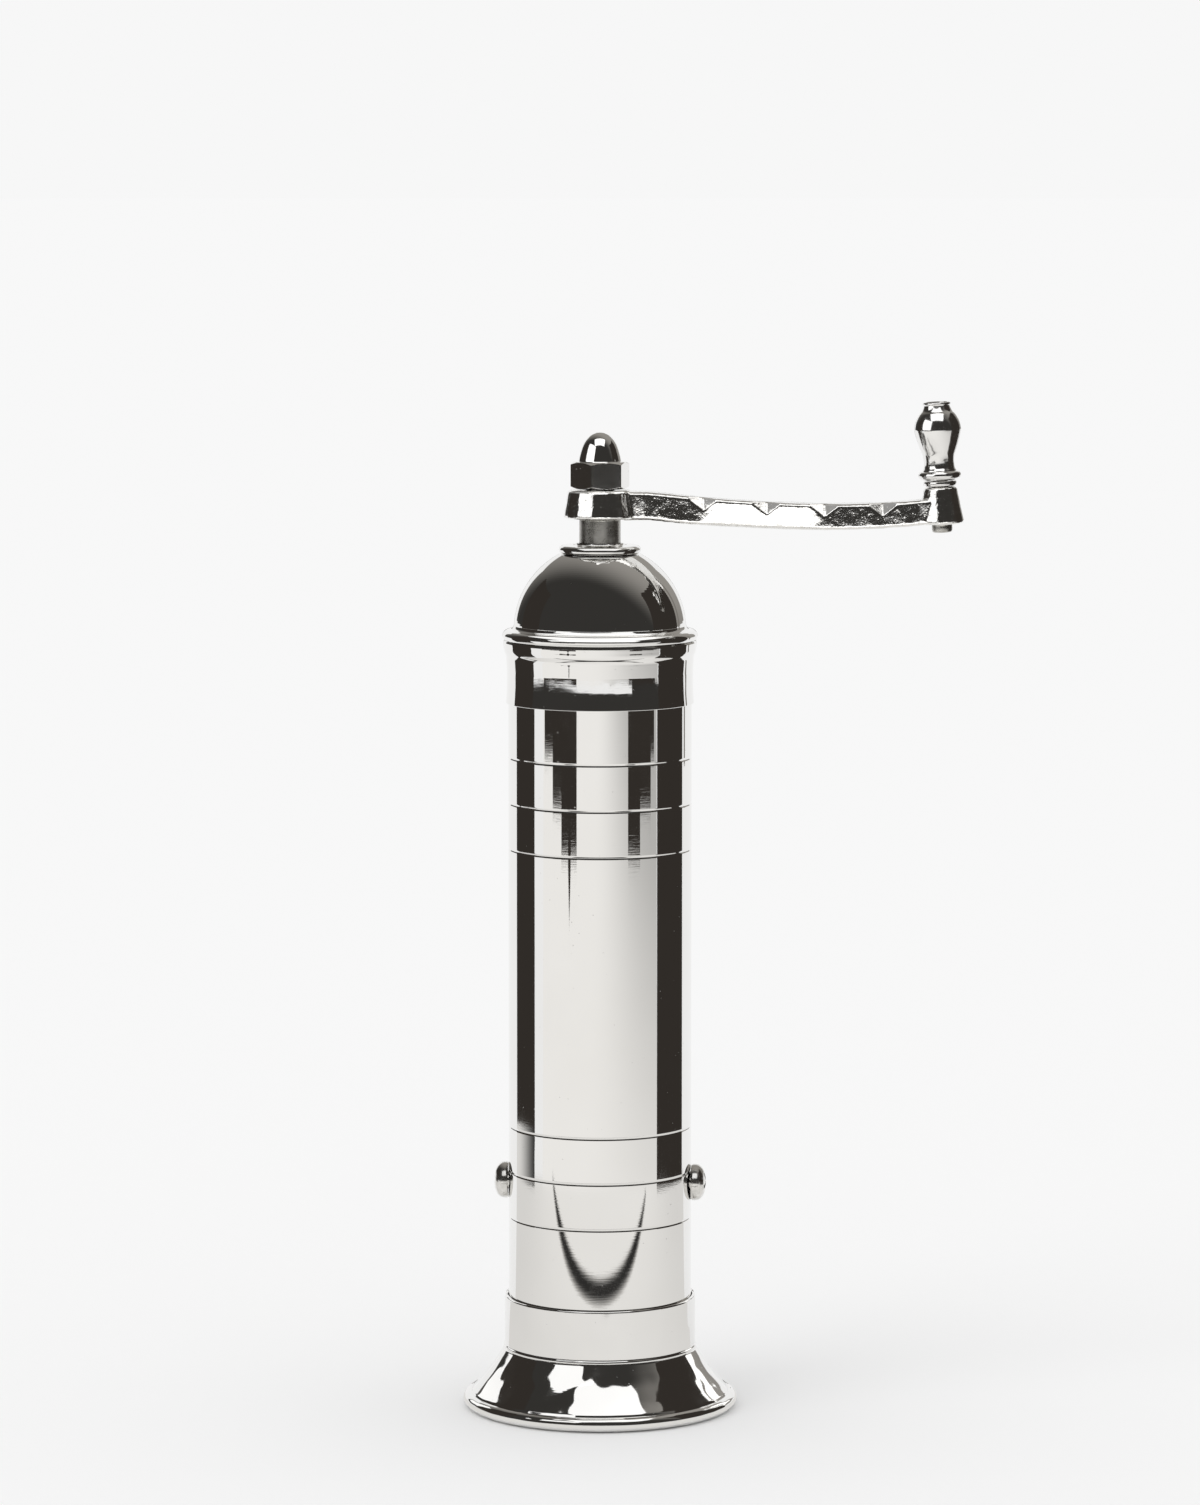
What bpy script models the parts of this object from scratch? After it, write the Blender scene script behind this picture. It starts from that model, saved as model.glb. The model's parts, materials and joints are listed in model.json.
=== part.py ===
"""A hand-cranked pepper mill: tube body, flared foot, domed lid, burrs, spindle, crank and knob.

Metres, +Z up. The origin is the centre of the ring that the foot stands on, and the
tube's axis is the Z axis. The crank arm points along +X.
"""

import math

import bmesh
import bpy
from mathutils import Matrix, Vector

MM = 0.001
TURN = 2 * math.pi

# Clearances
SEAT_GAP = 0.2 * MM
RUNNING_GAP = 0.1 * MM

# Facets round a turned piece
COARSE = 12
MEDIUM = 20
FINE = 28
SHELL = 40

# Body tube
TUBE_R = 20.0 * MM
TUBE_BORE_R = 19.0 * MM
TUBE_BOTTOM = 13.7 * MM
TUBE_TOP = 162.4 * MM
GROOVE_WIDTH = 1.6 * MM
GROOVE_DEPTH = 0.35 * MM
GROOVE_PITCH = 10.0 * MM
GROOVE_STARTS = (123.0 * MM, 42.0 * MM)
GROOVES_IN_A_SET = 3

# Foot
FOOT_R = 30.0 * MM
FOOT_ROLL_R = 1.45 * MM
FOOT_WALL = 1.1 * MM
FOOT_FLARE_TOP_R = 21.4 * MM
FOOT_FLARE_TOP = 12.4 * MM
FOOT_BEAD_TOP = 14.2 * MM
FOOT_SLEEVE_R = 20.9 * MM
FOOT_SLEEVE_TOP = 24.6 * MM
FOOT_SHOULDER_R = 0.8 * MM

# Lid
SKIRT_R = 20.8 * MM
SKIRT_BOTTOM = 154.8 * MM
SKIRT_TOP = 161.3 * MM
COLLAR_BULGE_R = 21.2 * MM
COLLAR_BULGE_Z = 165.6 * MM
COLLAR_TOP = 167.2 * MM
COLLAR_BORE_R = 18.9 * MM
RIM_R = 21.0 * MM
RIM_TOP = 170.3 * MM
DOME_R = 18.75 * MM
DOME_CENTRE = 170.7 * MM
DOME_WALL = 1.0 * MM
DOME_FLAT_R = 8.95 * MM
DOME_SPIGOT_BOTTOM = 164.0 * MM
BUSH_FLANGE_R = 8.9 * MM
BUSH_FLANGE_TOP = 189.0 * MM
BUSH_LIP_R = 5.5 * MM
BUSH_LIP_TOP = 190.0 * MM
BUSH_SHANK_R = 6.2 * MM
BUSH_BOTTOM = 182.6 * MM
BUSH_NUT_FLATS = 15.0 * MM
BUSH_NUT_HEIGHT = 2.0 * MM

# Burrs
BURR_RING_BOTTOM = 42.5 * MM
BURR_RING_TOP = 57.5 * MM
BURR_FUNNEL_R = 15.5 * MM
CONE_BOTTOM = 43.2 * MM
CONE_SHOULDER = 44.0 * MM
CONE_TOP = 56.0 * MM
CONE_BOTTOM_R = 11.0 * MM
CONE_TOP_R = 6.0 * MM
GRIND_GAP = 0.45 * MM
BURR_THROAT = 50.0 * MM
BURR_TEETH = 12
FLUTE_DEPTH = 0.9 * MM
FLUTE_SLANT = math.radians(18.0)

# Screws that hold the burr ring in the tube
BURR_SCREW_Z = 49.4 * MM
BURR_SCREW_TURN = math.radians(-4.3)
BURR_SCREW_HEAD_R = 3.95 * MM
BURR_SCREW_HEAD = 3.1 * MM
BURR_SCREW_SHANK_R = 1.95 * MM
BURR_SCREW_TIP_X = 14.6 * MM
CROSS_WIDTH = 0.9 * MM
CROSS_SPAN = 4.4 * MM
CROSS_DEPTH = 1.5 * MM

# Bridge under the burrs, with the grind adjuster
BRIDGE_PLATE = 1.8 * MM
BRIDGE_WIDTH = 8.0 * MM
BRIDGE_END_X = 18.3 * MM
BRIDGE_LEG_X = 11.5 * MM
BRIDGE_LEG = 1.6 * MM
BRIDGE_FLOOR = 31.7 * MM
BRIDGE_BOSS_BOTTOM = 29.9 * MM
BRIDGE_BOSS_R = 4.8 * MM
BRIDGE_SCREW_X = 15.9 * MM
BRIDGE_SCREW_R = 1.45 * MM
BRIDGE_SCREW_HEAD_R = 2.45 * MM
BRIDGE_SCREW_HEAD = 1.7 * MM
BRIDGE_SCREW_LENGTH = 6.5 * MM
ADJUSTER_R = 3.0 * MM
ADJUSTER_TOP = 36.0 * MM
ADJUSTER_HEAD_R = 7.0 * MM
ADJUSTER_HEAD_BOTTOM = 19.5 * MM
ADJUSTER_HEAD_TOP = 25.5 * MM
ADJUSTER_CUP_DEPTH = 1.5 * MM
KNURL_DEPTH = 0.45 * MM
LOCKNUT_FLATS = 10.0 * MM
LOCKNUT_TOP = 29.7 * MM
LOCKNUT_HEIGHT = 2.4 * MM
BALL_R = 2.0 * MM

# Spindle
ROD_R = 3.0 * MM
ROD_BOTTOM = 56.3 * MM
JOURNAL_R = 4.5 * MM
JOURNAL_BOTTOM = 182.0 * MM
JOURNAL_TOP = 194.8 * MM
LOWER_SQUARE = 4.2 * MM
LOWER_SQUARE_BOTTOM = 43.0 * MM
UPPER_SQUARE = 6.0 * MM
UPPER_SQUARE_TOP = 200.8 * MM
STUD_R = 2.95 * MM
STUD_TOP = 211.0 * MM
TAIL_R = 1.95 * MM
SPINDLE_BOTTOM = 38.95 * MM
CONE_NUT_FLATS = 7.0 * MM
CONE_NUT_HEIGHT = 2.3 * MM

# Crank
HUB_TOP_R = 7.0 * MM
HUB_BOTTOM_R = 7.9 * MM
HUB_TOP = 201.2 * MM
HUB_BOTTOM = 195.0 * MM
ARM_THICKNESS = 6.8 * MM
ARM_START_X = 5.0 * MM
ARM_HUB_X = 11.0 * MM
ARM_LOW_X = 51.0 * MM
ARM_BOSS_X = 70.5 * MM
ARM_END_X = 72.0 * MM
ARM_LOW_Z = 195.4 * MM
ARM_HUB_RISE = 2.35 * MM
ARM_BOSS_RISE = 1.0 * MM
ARM_HUB_HEIGHT = 6.1 * MM
ARM_BOSS_HEIGHT = 5.4 * MM
ARM_CHAMFER = 0.5 * MM
NOTCH_XS = (22.4 * MM, 36.1 * MM, 48.6 * MM, 61.2 * MM)
NOTCH_HALF_WIDTH = 3.65 * MM
NOTCH_INWARD = 2.5 * MM
NOTCH_DOWN = 2.8 * MM

# Cap nut
CAP_NUT_FLATS = 11.45 * MM
CAP_NUT_BOTTOM = 201.5 * MM
CAP_NUT_HEX_TOP = 207.3 * MM
CAP_NUT_TOP = 213.7 * MM
CAP_NUT_NECK_R = 5.0 * MM
CAP_NUT_NOSE_R = 3.9 * MM
CAP_NUT_CORNER = math.radians(-107.7)
CAP_NUT_BORE_TOP = 211.6 * MM

# Knob and its pin, measured up the pin's axis from the underside of the crank's end boss
PIN_X = 74.3 * MM
PIN_Z = 193.8 * MM
PIN_LEAN = math.radians(-2.8)
BOSS_BOTTOM_R = 4.9 * MM
BOSS_TOP_R = 3.6 * MM
BOSS_HEIGHT = 8.1 * MM
PIN_R = 1.7 * MM
PIN_TAIL_R = 2.2 * MM
PIN_TAIL_BOTTOM = -1.9 * MM
PIN_HEAD_R = 2.3 * MM
PIN_TOP = 26.2 * MM
WASHER_R = 3.6 * MM
WASHER_BOTTOM = 8.3 * MM
WASHER_TOP = 9.4 * MM
KNOB_BOTTOM = 9.6 * MM
KNOB_TOP = 26.5 * MM
KNOB_FLANGE_R = 4.8 * MM
KNOB_FLANGE_TOP = 11.3 * MM
KNOB_NECK_R = 3.5 * MM
KNOB_NECK = 13.9 * MM
KNOB_BELLY_R = 5.3 * MM
KNOB_BELLY = 20.2 * MM
KNOB_LIP_R = 3.2 * MM
KNOB_LIP_BOTTOM = 25.2 * MM
KNOB_RECESS_R = 2.6 * MM
KNOB_RECESS_DEPTH = 1.3 * MM

# Finishes: colour, roughness, metallic
PLATED = ((0.80, 0.79, 0.77), 0.04, 1.0)
CAST_PLATED = ((0.72, 0.71, 0.68), 0.16, 1.0)
SATIN_STEEL = ((0.60, 0.59, 0.57), 0.35, 1.0)
BURR_STEEL = ((0.30, 0.30, 0.31), 0.45, 1.0)
BRASS = ((0.74, 0.55, 0.26), 0.30, 1.0)


# ---- Profiles, as (radius, height) points ----


def arc(centre, radius, start, end, count):
    """Points of an arc, its angles in degrees up from the outward direction."""
    points = []
    for step in range(count + 1):
        angle = math.radians(start + (end - start) * step / count)
        points.append((centre[0] + radius * math.cos(angle), centre[1] + radius * math.sin(angle)))
    return points


def bow(start, control, end, count):
    """Points of a quadratic curve."""
    points = []
    for step in range(count + 1):
        t = step / count
        weights = ((1 - t) ** 2, 2 * t * (1 - t), t**2)
        points.append(
            tuple(
                weights[0] * a + weights[1] * b + weights[2] * c
                for a, b, c in zip(start, control, end)
            )
        )
    return points


def wave(start, end, count):
    """Points of a half wave that leaves and arrives along the axis, such as a neck or a belly."""
    points = []
    for step in range(count + 1):
        t = step / count
        blend = (1 - math.cos(math.pi * t)) / 2
        radius = start[0] + (end[0] - start[0]) * blend
        points.append((radius, start[1] + (end[1] - start[1]) * t))
    return points


def cone_radius(height):
    """Radius of the burr cone's teeth at a height."""
    share = (height - CONE_SHOULDER) / (CONE_TOP - CONE_SHOULDER)
    return CONE_BOTTOM_R + (CONE_TOP_R - CONE_BOTTOM_R) * share


# ---- Scene helpers ----


def clear_scene():
    for obj in list(bpy.data.objects):
        bpy.data.objects.remove(obj, do_unlink=True)


def make_collection(name):
    collection = bpy.data.collections.new(name)
    bpy.context.scene.collection.children.link(collection)
    return collection


def add_object(name, mesh, collection, parent=None):
    obj = bpy.data.objects.new(name, mesh)
    collection.objects.link(obj)
    obj.parent = parent
    return obj


def as_helper(obj):
    """Marks a cutter, or a shape that a Boolean joins to another."""
    obj.hide_render = True
    obj.display_type = "WIRE"
    return obj


def finish(obj, look):
    """Gives the piece a material of its own."""
    colour, roughness, metallic = look
    material = bpy.data.materials.new(obj.name)
    material.use_nodes = True
    shader = material.node_tree.nodes["Principled BSDF"]
    shader.inputs["Base Color"].default_value = (*colour, 1.0)
    shader.inputs["Roughness"].default_value = roughness
    shader.inputs["Metallic"].default_value = metallic
    obj.data.materials.append(material)
    return obj


def turned(name, profile, segments, collection, parent=None, bored=True):
    """A turned shape. Its profile runs down the outer side; a bored one comes back up its bore."""
    mesh = bpy.data.meshes.new(name)
    edges = [(i, i + 1) for i in range(len(profile) - 1)]
    if bored:
        edges.append((len(profile) - 1, 0))
    mesh.from_pydata([(radius, 0.0, height) for radius, height in profile], edges, [])
    obj = add_object(name, mesh, collection, parent)
    screw = obj.modifiers.new("Lathe", "SCREW")
    screw.axis = "Z"
    screw.angle = TURN
    screw.steps = segments
    screw.render_steps = segments
    screw.use_merge_vertices = True
    screw.merge_threshold = 0.00001
    return obj


def prism(name, sides, across_flats, bottom, top, collection, parent=None, corner=0.0):
    """An upright prism on the Z axis with one corner at the given azimuth."""
    mesh = bpy.data.meshes.new(name)
    shape = bmesh.new()
    radius = across_flats / 2 / math.cos(math.pi / sides)
    middle = Matrix.Translation((0.0, 0.0, (bottom + top) / 2))
    bmesh.ops.create_cone(
        shape,
        segments=sides,
        cap_ends=True,
        radius1=radius,
        radius2=radius,
        depth=top - bottom,
        matrix=middle,
    )
    first = max(shape.verts, key=lambda vert: vert.co.x)
    turn = corner - math.atan2(first.co.y, first.co.x)
    bmesh.ops.rotate(shape, verts=shape.verts, matrix=Matrix.Rotation(turn, 3, "Z"))
    shape.to_mesh(mesh)
    shape.free()
    return add_object(name, mesh, collection, parent)


def box(name, size, centre, collection, parent=None):
    mesh = bpy.data.meshes.new(name)
    shape = bmesh.new()
    scale = Matrix.Diagonal((*size, 1.0))
    bmesh.ops.create_cube(shape, size=1.0, matrix=Matrix.Translation(centre) @ scale)
    shape.to_mesh(mesh)
    shape.free()
    return add_object(name, mesh, collection, parent)


def outline(name, points, thickness, chamfer, collection):
    """A flat outline in the XZ plane, thickened evenly to both sides and made a welded mesh."""
    curve = bpy.data.curves.new(name, "CURVE")
    curve.dimensions = "2D"
    curve.fill_mode = "BOTH"
    curve.extrude = thickness / 2 - chamfer
    curve.bevel_depth = chamfer
    curve.bevel_resolution = 0
    curve.offset = -chamfer
    spline = curve.splines.new("POLY")
    spline.points.add(len(points) - 1)
    for point, (x, z) in zip(spline.points, points):
        point.co = (x, z, 0.0, 1.0)
    spline.use_cyclic_u = True
    drawn = add_object(name + "_outline", curve, collection)
    drawn.rotation_euler = (math.pi / 2, 0.0, 0.0)
    bpy.context.view_layer.update()
    graph = bpy.context.evaluated_depsgraph_get()
    mesh = bpy.data.meshes.new_from_object(drawn.evaluated_get(graph))
    shape = bmesh.new()
    shape.from_mesh(mesh)
    bmesh.ops.remove_doubles(shape, verts=shape.verts, dist=0.000001)
    bmesh.ops.recalc_face_normals(shape, faces=shape.faces)
    shape.to_mesh(mesh)
    shape.free()
    obj = add_object(name, mesh, collection)
    obj.matrix_world = drawn.matrix_world.copy()
    bpy.data.objects.remove(drawn, do_unlink=True)
    return obj


def combine(obj, operation, *others):
    """Adds one Boolean to the piece for each other shape."""
    for other in others:
        boolean = obj.modifiers.new(other.name, "BOOLEAN")
        boolean.operation = operation
        boolean.object = as_helper(other)
    return obj


def settle(collection):
    """Turns each piece's modifiers into its mesh, and shades it smooth up to its sharp edges."""
    bpy.context.view_layer.update()
    graph = bpy.context.evaluated_depsgraph_get()
    made = {}
    for obj in collection.objects:
        if obj.type == "MESH":
            made[obj] = bpy.data.meshes.new_from_object(obj.evaluated_get(graph))
    for obj, mesh in made.items():
        mesh.name = obj.name
        mesh.shade_smooth()
        mesh.set_sharp_from_angle(angle=math.radians(35.0))
        obj.modifiers.clear()
        obj.data = mesh


# ---- Body: tube, foot, burr ring and what holds it ----


def body_tube(pieces, cutters):
    profile = [(TUBE_BORE_R, TUBE_TOP), (TUBE_R, TUBE_TOP)]
    for start in GROOVE_STARTS:
        for index in reversed(range(GROOVES_IN_A_SET)):
            middle = start + index * GROOVE_PITCH
            profile += [
                (TUBE_R, middle + GROOVE_WIDTH / 2),
                (TUBE_R - GROOVE_DEPTH, middle),
                (TUBE_R, middle - GROOVE_WIDTH / 2),
            ]
    profile += [(TUBE_R, TUBE_BOTTOM), (TUBE_BORE_R, TUBE_BOTTOM)]
    tube = turned("body_tube", profile, SHELL, pieces)
    hole = screw_hole("tube_screw_hole", TUBE_R + 2 * MM, -TUBE_R - 2 * MM, cutters)
    return finish(combine(tube, "DIFFERENCE", hole), PLATED)


def screw_hole(name, start_x, end_x, cutters):
    """A round cutter across the tube on the line of the burr screws."""
    radius = BURR_SCREW_SHANK_R + RUNNING_GAP
    profile = [(0.0, start_x), (radius, start_x), (radius, end_x), (0.0, end_x)]
    cutter = turned(name, profile, COARSE, cutters, bored=False)
    cutter.location = (0.0, 0.0, BURR_SCREW_Z)
    cutter.rotation_euler = (0.0, math.pi / 2, BURR_SCREW_TURN)
    return cutter


def foot(pieces):
    roll_centre = (FOOT_R - FOOT_ROLL_R, FOOT_ROLL_R)
    bore = TUBE_R + RUNNING_GAP
    shelf = TUBE_BOTTOM - SEAT_GAP
    flare_end = (FOOT_R - 1.1 * MM, 3.1 * MM)
    flare_start = (FOOT_FLARE_TOP_R, FOOT_FLARE_TOP)
    flare_bend = (FOOT_R - 5.9 * MM, 7.2 * MM)
    shoulder = (FOOT_SLEEVE_R - FOOT_SHOULDER_R, FOOT_SLEEVE_TOP - FOOT_SHOULDER_R)
    inner_edge = FOOT_R - 3.0 * MM
    profile = [(bore, FOOT_SLEEVE_TOP)]
    profile += arc(shoulder, FOOT_SHOULDER_R, 80, 0, 2)
    profile += [(FOOT_SLEEVE_R, FOOT_BEAD_TOP), (FOOT_FLARE_TOP_R, FOOT_BEAD_TOP - 0.4 * MM)]
    profile += bow(flare_start, flare_bend, flare_end, 4)
    profile += arc(roll_centre, FOOT_ROLL_R, 50, -90, 4)
    profile += [(inner_edge, 0.0), (inner_edge, 2.6 * MM)]
    profile += bow(
        (inner_edge - 0.3 * MM, 3.2 * MM),
        (flare_bend[0] - FOOT_WALL, flare_bend[1] - 0.6 * MM),
        (TUBE_BORE_R + 0.6 * MM, FOOT_FLARE_TOP - FOOT_WALL),
        3,
    )
    profile += [(TUBE_BORE_R, shelf - 0.6 * MM), (TUBE_BORE_R, shelf), (bore, shelf)]
    return finish(turned("foot", profile, SHELL, pieces), PLATED)


def flutes(name, cutters, offset, lean, top, bottom):
    """Slanted V-cutters set round the axis: one for each tooth of a burr."""
    mesh = bpy.data.meshes.new(name)
    shape = bmesh.new()
    length = top - bottom + 6 * MM
    for index in range(BURR_TEETH):
        place = (
            Matrix.Rotation(index * TURN / BURR_TEETH, 4, "Z")
            @ Matrix.Translation((offset, 0.0, (top + bottom) / 2))
            @ Matrix.Rotation(lean, 4, "Y")
            @ Matrix.Rotation(FLUTE_SLANT, 4, "X")
        )
        bmesh.ops.create_cone(
            shape,
            segments=4,
            cap_ends=True,
            radius1=FLUTE_DEPTH,
            radius2=FLUTE_DEPTH,
            depth=length,
            matrix=place,
        )
    shape.to_mesh(mesh)
    shape.free()
    return add_object(name, mesh, cutters)


def burr_lean():
    return math.atan2(CONE_TOP_R - CONE_BOTTOM_R, CONE_TOP - CONE_SHOULDER)


def burr_ring(pieces, cutters):
    outer = TUBE_BORE_R - RUNNING_GAP
    mouth = cone_radius(BURR_RING_BOTTOM) + GRIND_GAP
    throat = cone_radius(BURR_THROAT) + GRIND_GAP
    profile = [
        (BURR_FUNNEL_R, BURR_RING_TOP),
        (outer, BURR_RING_TOP),
        (outer, BURR_RING_BOTTOM),
        (mouth, BURR_RING_BOTTOM),
        (throat, BURR_THROAT),
    ]
    ring = turned("burr_ring", profile, SHELL, pieces)
    middle = (BURR_RING_BOTTOM + BURR_RING_TOP) / 2
    offset = cone_radius(middle) + GRIND_GAP + 0.2 * MM
    cut = flutes("ring_flutes", cutters, offset, burr_lean(), BURR_RING_TOP, BURR_RING_BOTTOM)
    holes = [
        screw_hole("ring_screw_hole_right", outer + 2 * MM, BURR_SCREW_TIP_X - 0.6 * MM, cutters),
        screw_hole("ring_screw_hole_left", -BURR_SCREW_TIP_X + 0.6 * MM, -outer - 2 * MM, cutters),
    ]
    for side, x in (("right", BRIDGE_SCREW_X), ("left", -BRIDGE_SCREW_X)):
        radius = BRIDGE_SCREW_R + RUNNING_GAP
        top = BURR_RING_BOTTOM + BRIDGE_SCREW_LENGTH - 1.0 * MM
        bottom = BURR_RING_BOTTOM - 1.0 * MM
        rim = [(0.0, top), (radius, top), (radius, bottom), (0.0, bottom)]
        hole = turned("ring_bridge_hole_" + side, rim, COARSE, cutters, bored=False)
        hole.location.x = x
        holes.append(hole)
    return finish(combine(ring, "DIFFERENCE", cut, *holes), BURR_STEEL)


def burr_screw(side, turn, pieces, cutters):
    """A pan-head screw with a cross recess, lying on its own Z axis and laid over to point inwards."""
    seat = TUBE_R + RUNNING_GAP
    crown = seat + BURR_SCREW_HEAD
    profile = [(0.0, crown)]
    profile += bow(
        (BURR_SCREW_HEAD_R * 0.45, crown - 0.1 * MM),
        (BURR_SCREW_HEAD_R * 0.95, crown - 0.3 * MM),
        (BURR_SCREW_HEAD_R, seat + 1.1 * MM),
        3,
    )
    profile += [
        (BURR_SCREW_HEAD_R, seat),
        (BURR_SCREW_SHANK_R, seat),
        (BURR_SCREW_SHANK_R, BURR_SCREW_TIP_X + 0.5 * MM),
        (BURR_SCREW_SHANK_R - 0.5 * MM, BURR_SCREW_TIP_X),
        (0.0, BURR_SCREW_TIP_X),
    ]
    name = "burr_screw_" + side
    screw = turned(name, profile, COARSE, pieces, bored=False)
    top = Vector((0.0, 0.0, crown))
    bars = []
    for index, size in enumerate(((CROSS_SPAN, CROSS_WIDTH), (CROSS_WIDTH, CROSS_SPAN))):
        bar = box(f"{name}_cross_{index}", (*size, 2 * CROSS_DEPTH), top, cutters, screw)
        bars.append(bar)
    screw.location = (0.0, 0.0, BURR_SCREW_Z)
    screw.rotation_euler = (0.0, math.pi / 2, turn)
    return finish(combine(screw, "DIFFERENCE", *bars), SATIN_STEEL)


def adjuster_bridge(pieces, cutters):
    """A stirrup of bent strip under the burr ring, with a threaded boss for the adjuster."""
    top = BURR_RING_BOTTOM - SEAT_GAP
    floor_top = BRIDGE_FLOOR + BRIDGE_PLATE
    leg_outside = BRIDGE_LEG_X + BRIDGE_LEG
    right = [
        (BRIDGE_LEG_X, floor_top),
        (BRIDGE_LEG_X, top),
        (BRIDGE_END_X, top),
        (BRIDGE_END_X, top - BRIDGE_PLATE),
        (leg_outside, top - BRIDGE_PLATE),
        (leg_outside, BRIDGE_FLOOR),
    ]
    left = [(-x, z) for x, z in reversed(right)]
    bridge = outline("adjuster_bridge", right + left, BRIDGE_WIDTH, 0.2 * MM, pieces)
    rim = [
        (0.0, floor_top - 0.4 * MM),
        (BRIDGE_BOSS_R, floor_top - 0.4 * MM),
        (BRIDGE_BOSS_R, BRIDGE_BOSS_BOTTOM),
        (0.0, BRIDGE_BOSS_BOTTOM),
    ]
    boss = turned("bridge_boss", rim, MEDIUM, cutters, bored=False)
    holes = []
    for name, x, radius in (
        ("bridge_adjuster_hole", 0.0, ADJUSTER_R + RUNNING_GAP),
        ("bridge_screw_hole_right", BRIDGE_SCREW_X, BRIDGE_SCREW_R + RUNNING_GAP),
        ("bridge_screw_hole_left", -BRIDGE_SCREW_X, BRIDGE_SCREW_R + RUNNING_GAP),
    ):
        rim = [
            (0.0, top + 2 * MM),
            (radius, top + 2 * MM),
            (radius, BRIDGE_BOSS_BOTTOM - 2 * MM),
            (0.0, BRIDGE_BOSS_BOTTOM - 2 * MM),
        ]
        hole = turned(name, rim, MEDIUM, cutters, bored=False)
        hole.location.x = x
        holes.append(hole)
    combine(bridge, "UNION", boss)
    return finish(combine(bridge, "DIFFERENCE", *holes), SATIN_STEEL)


def bridge_screw(side, x, pieces, cutters):
    seat = BURR_RING_BOTTOM - SEAT_GAP - BRIDGE_PLATE - RUNNING_GAP
    bottom = seat - BRIDGE_SCREW_HEAD
    top = seat + BRIDGE_SCREW_LENGTH
    profile = [
        (0.0, top),
        (BRIDGE_SCREW_R, top),
        (BRIDGE_SCREW_R, seat),
        (BRIDGE_SCREW_HEAD_R, seat),
        (BRIDGE_SCREW_HEAD_R, bottom + 0.5 * MM),
        (BRIDGE_SCREW_HEAD_R - 0.5 * MM, bottom),
        (0.0, bottom),
    ]
    name = "bridge_screw_" + side
    screw = turned(name, profile, COARSE, pieces, bored=False)
    screw.location.x = x
    slot_size = (6 * MM, 0.7 * MM, 1.4 * MM)
    slot = box(name + "_slot", slot_size, Vector((0.0, 0.0, bottom)), cutters, screw)
    return finish(combine(screw, "DIFFERENCE", slot), SATIN_STEEL)


def adjuster_locknut(pieces, cutters):
    bottom = LOCKNUT_TOP - LOCKNUT_HEIGHT
    nut = prism("adjuster_locknut", 6, LOCKNUT_FLATS, bottom, LOCKNUT_TOP, pieces)
    radius = ADJUSTER_R + RUNNING_GAP
    rim = [
        (0.0, LOCKNUT_TOP + MM),
        (radius, LOCKNUT_TOP + MM),
        (radius, bottom - MM),
        (0.0, bottom - MM),
    ]
    hole = turned("locknut_hole", rim, MEDIUM, cutters, bored=False)
    return finish(combine(nut, "DIFFERENCE", hole), BRASS)


# ---- Grind adjuster ----


def adjuster_screw(pieces, cutters):
    """The screw under the spindle: a knurled, slotted head and a cup for the thrust ball."""
    cup_floor = ADJUSTER_TOP - ADJUSTER_CUP_DEPTH
    shank_bottom = ADJUSTER_HEAD_TOP - MM
    rim = [
        (0.0, cup_floor),
        (BALL_R + 0.15 * MM, cup_floor),
        (BALL_R + 0.15 * MM, ADJUSTER_TOP),
        (ADJUSTER_R, ADJUSTER_TOP),
        (ADJUSTER_R, shank_bottom),
        (0.0, shank_bottom),
    ]
    shank = turned("adjuster_shank", rim, MEDIUM, cutters, bored=False)
    head = prism(
        "adjuster_screw",
        SHELL,
        2 * ADJUSTER_HEAD_R,
        ADJUSTER_HEAD_BOTTOM,
        ADJUSTER_HEAD_TOP,
        pieces,
    )
    for vert in head.data.vertices:
        azimuth = math.atan2(vert.co.y, vert.co.x)
        if round(azimuth / TURN * SHELL) % 2:
            shrink = 1 - KNURL_DEPTH / ADJUSTER_HEAD_R
            vert.co.x *= shrink
            vert.co.y *= shrink
    slot_size = (20 * MM, 1.5 * MM, 4 * MM)
    slot = box("adjuster_slot", slot_size, Vector((0.0, 0.0, ADJUSTER_HEAD_BOTTOM)), cutters)
    combine(head, "UNION", shank)
    return finish(combine(head, "DIFFERENCE", slot), BRASS)


def thrust_ball(pieces):
    mesh = bpy.data.meshes.new("thrust_ball")
    shape = bmesh.new()
    centre = ADJUSTER_TOP - ADJUSTER_CUP_DEPTH + SEAT_GAP + BALL_R
    bmesh.ops.create_uvsphere(
        shape,
        u_segments=COARSE,
        v_segments=COARSE // 2,
        radius=BALL_R,
        matrix=Matrix.Translation((0.0, 0.0, centre)),
    )
    shape.to_mesh(mesh)
    shape.free()
    return finish(add_object("thrust_ball", mesh, pieces), SATIN_STEEL)


# ---- Spindle and what turns with it ----


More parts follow.
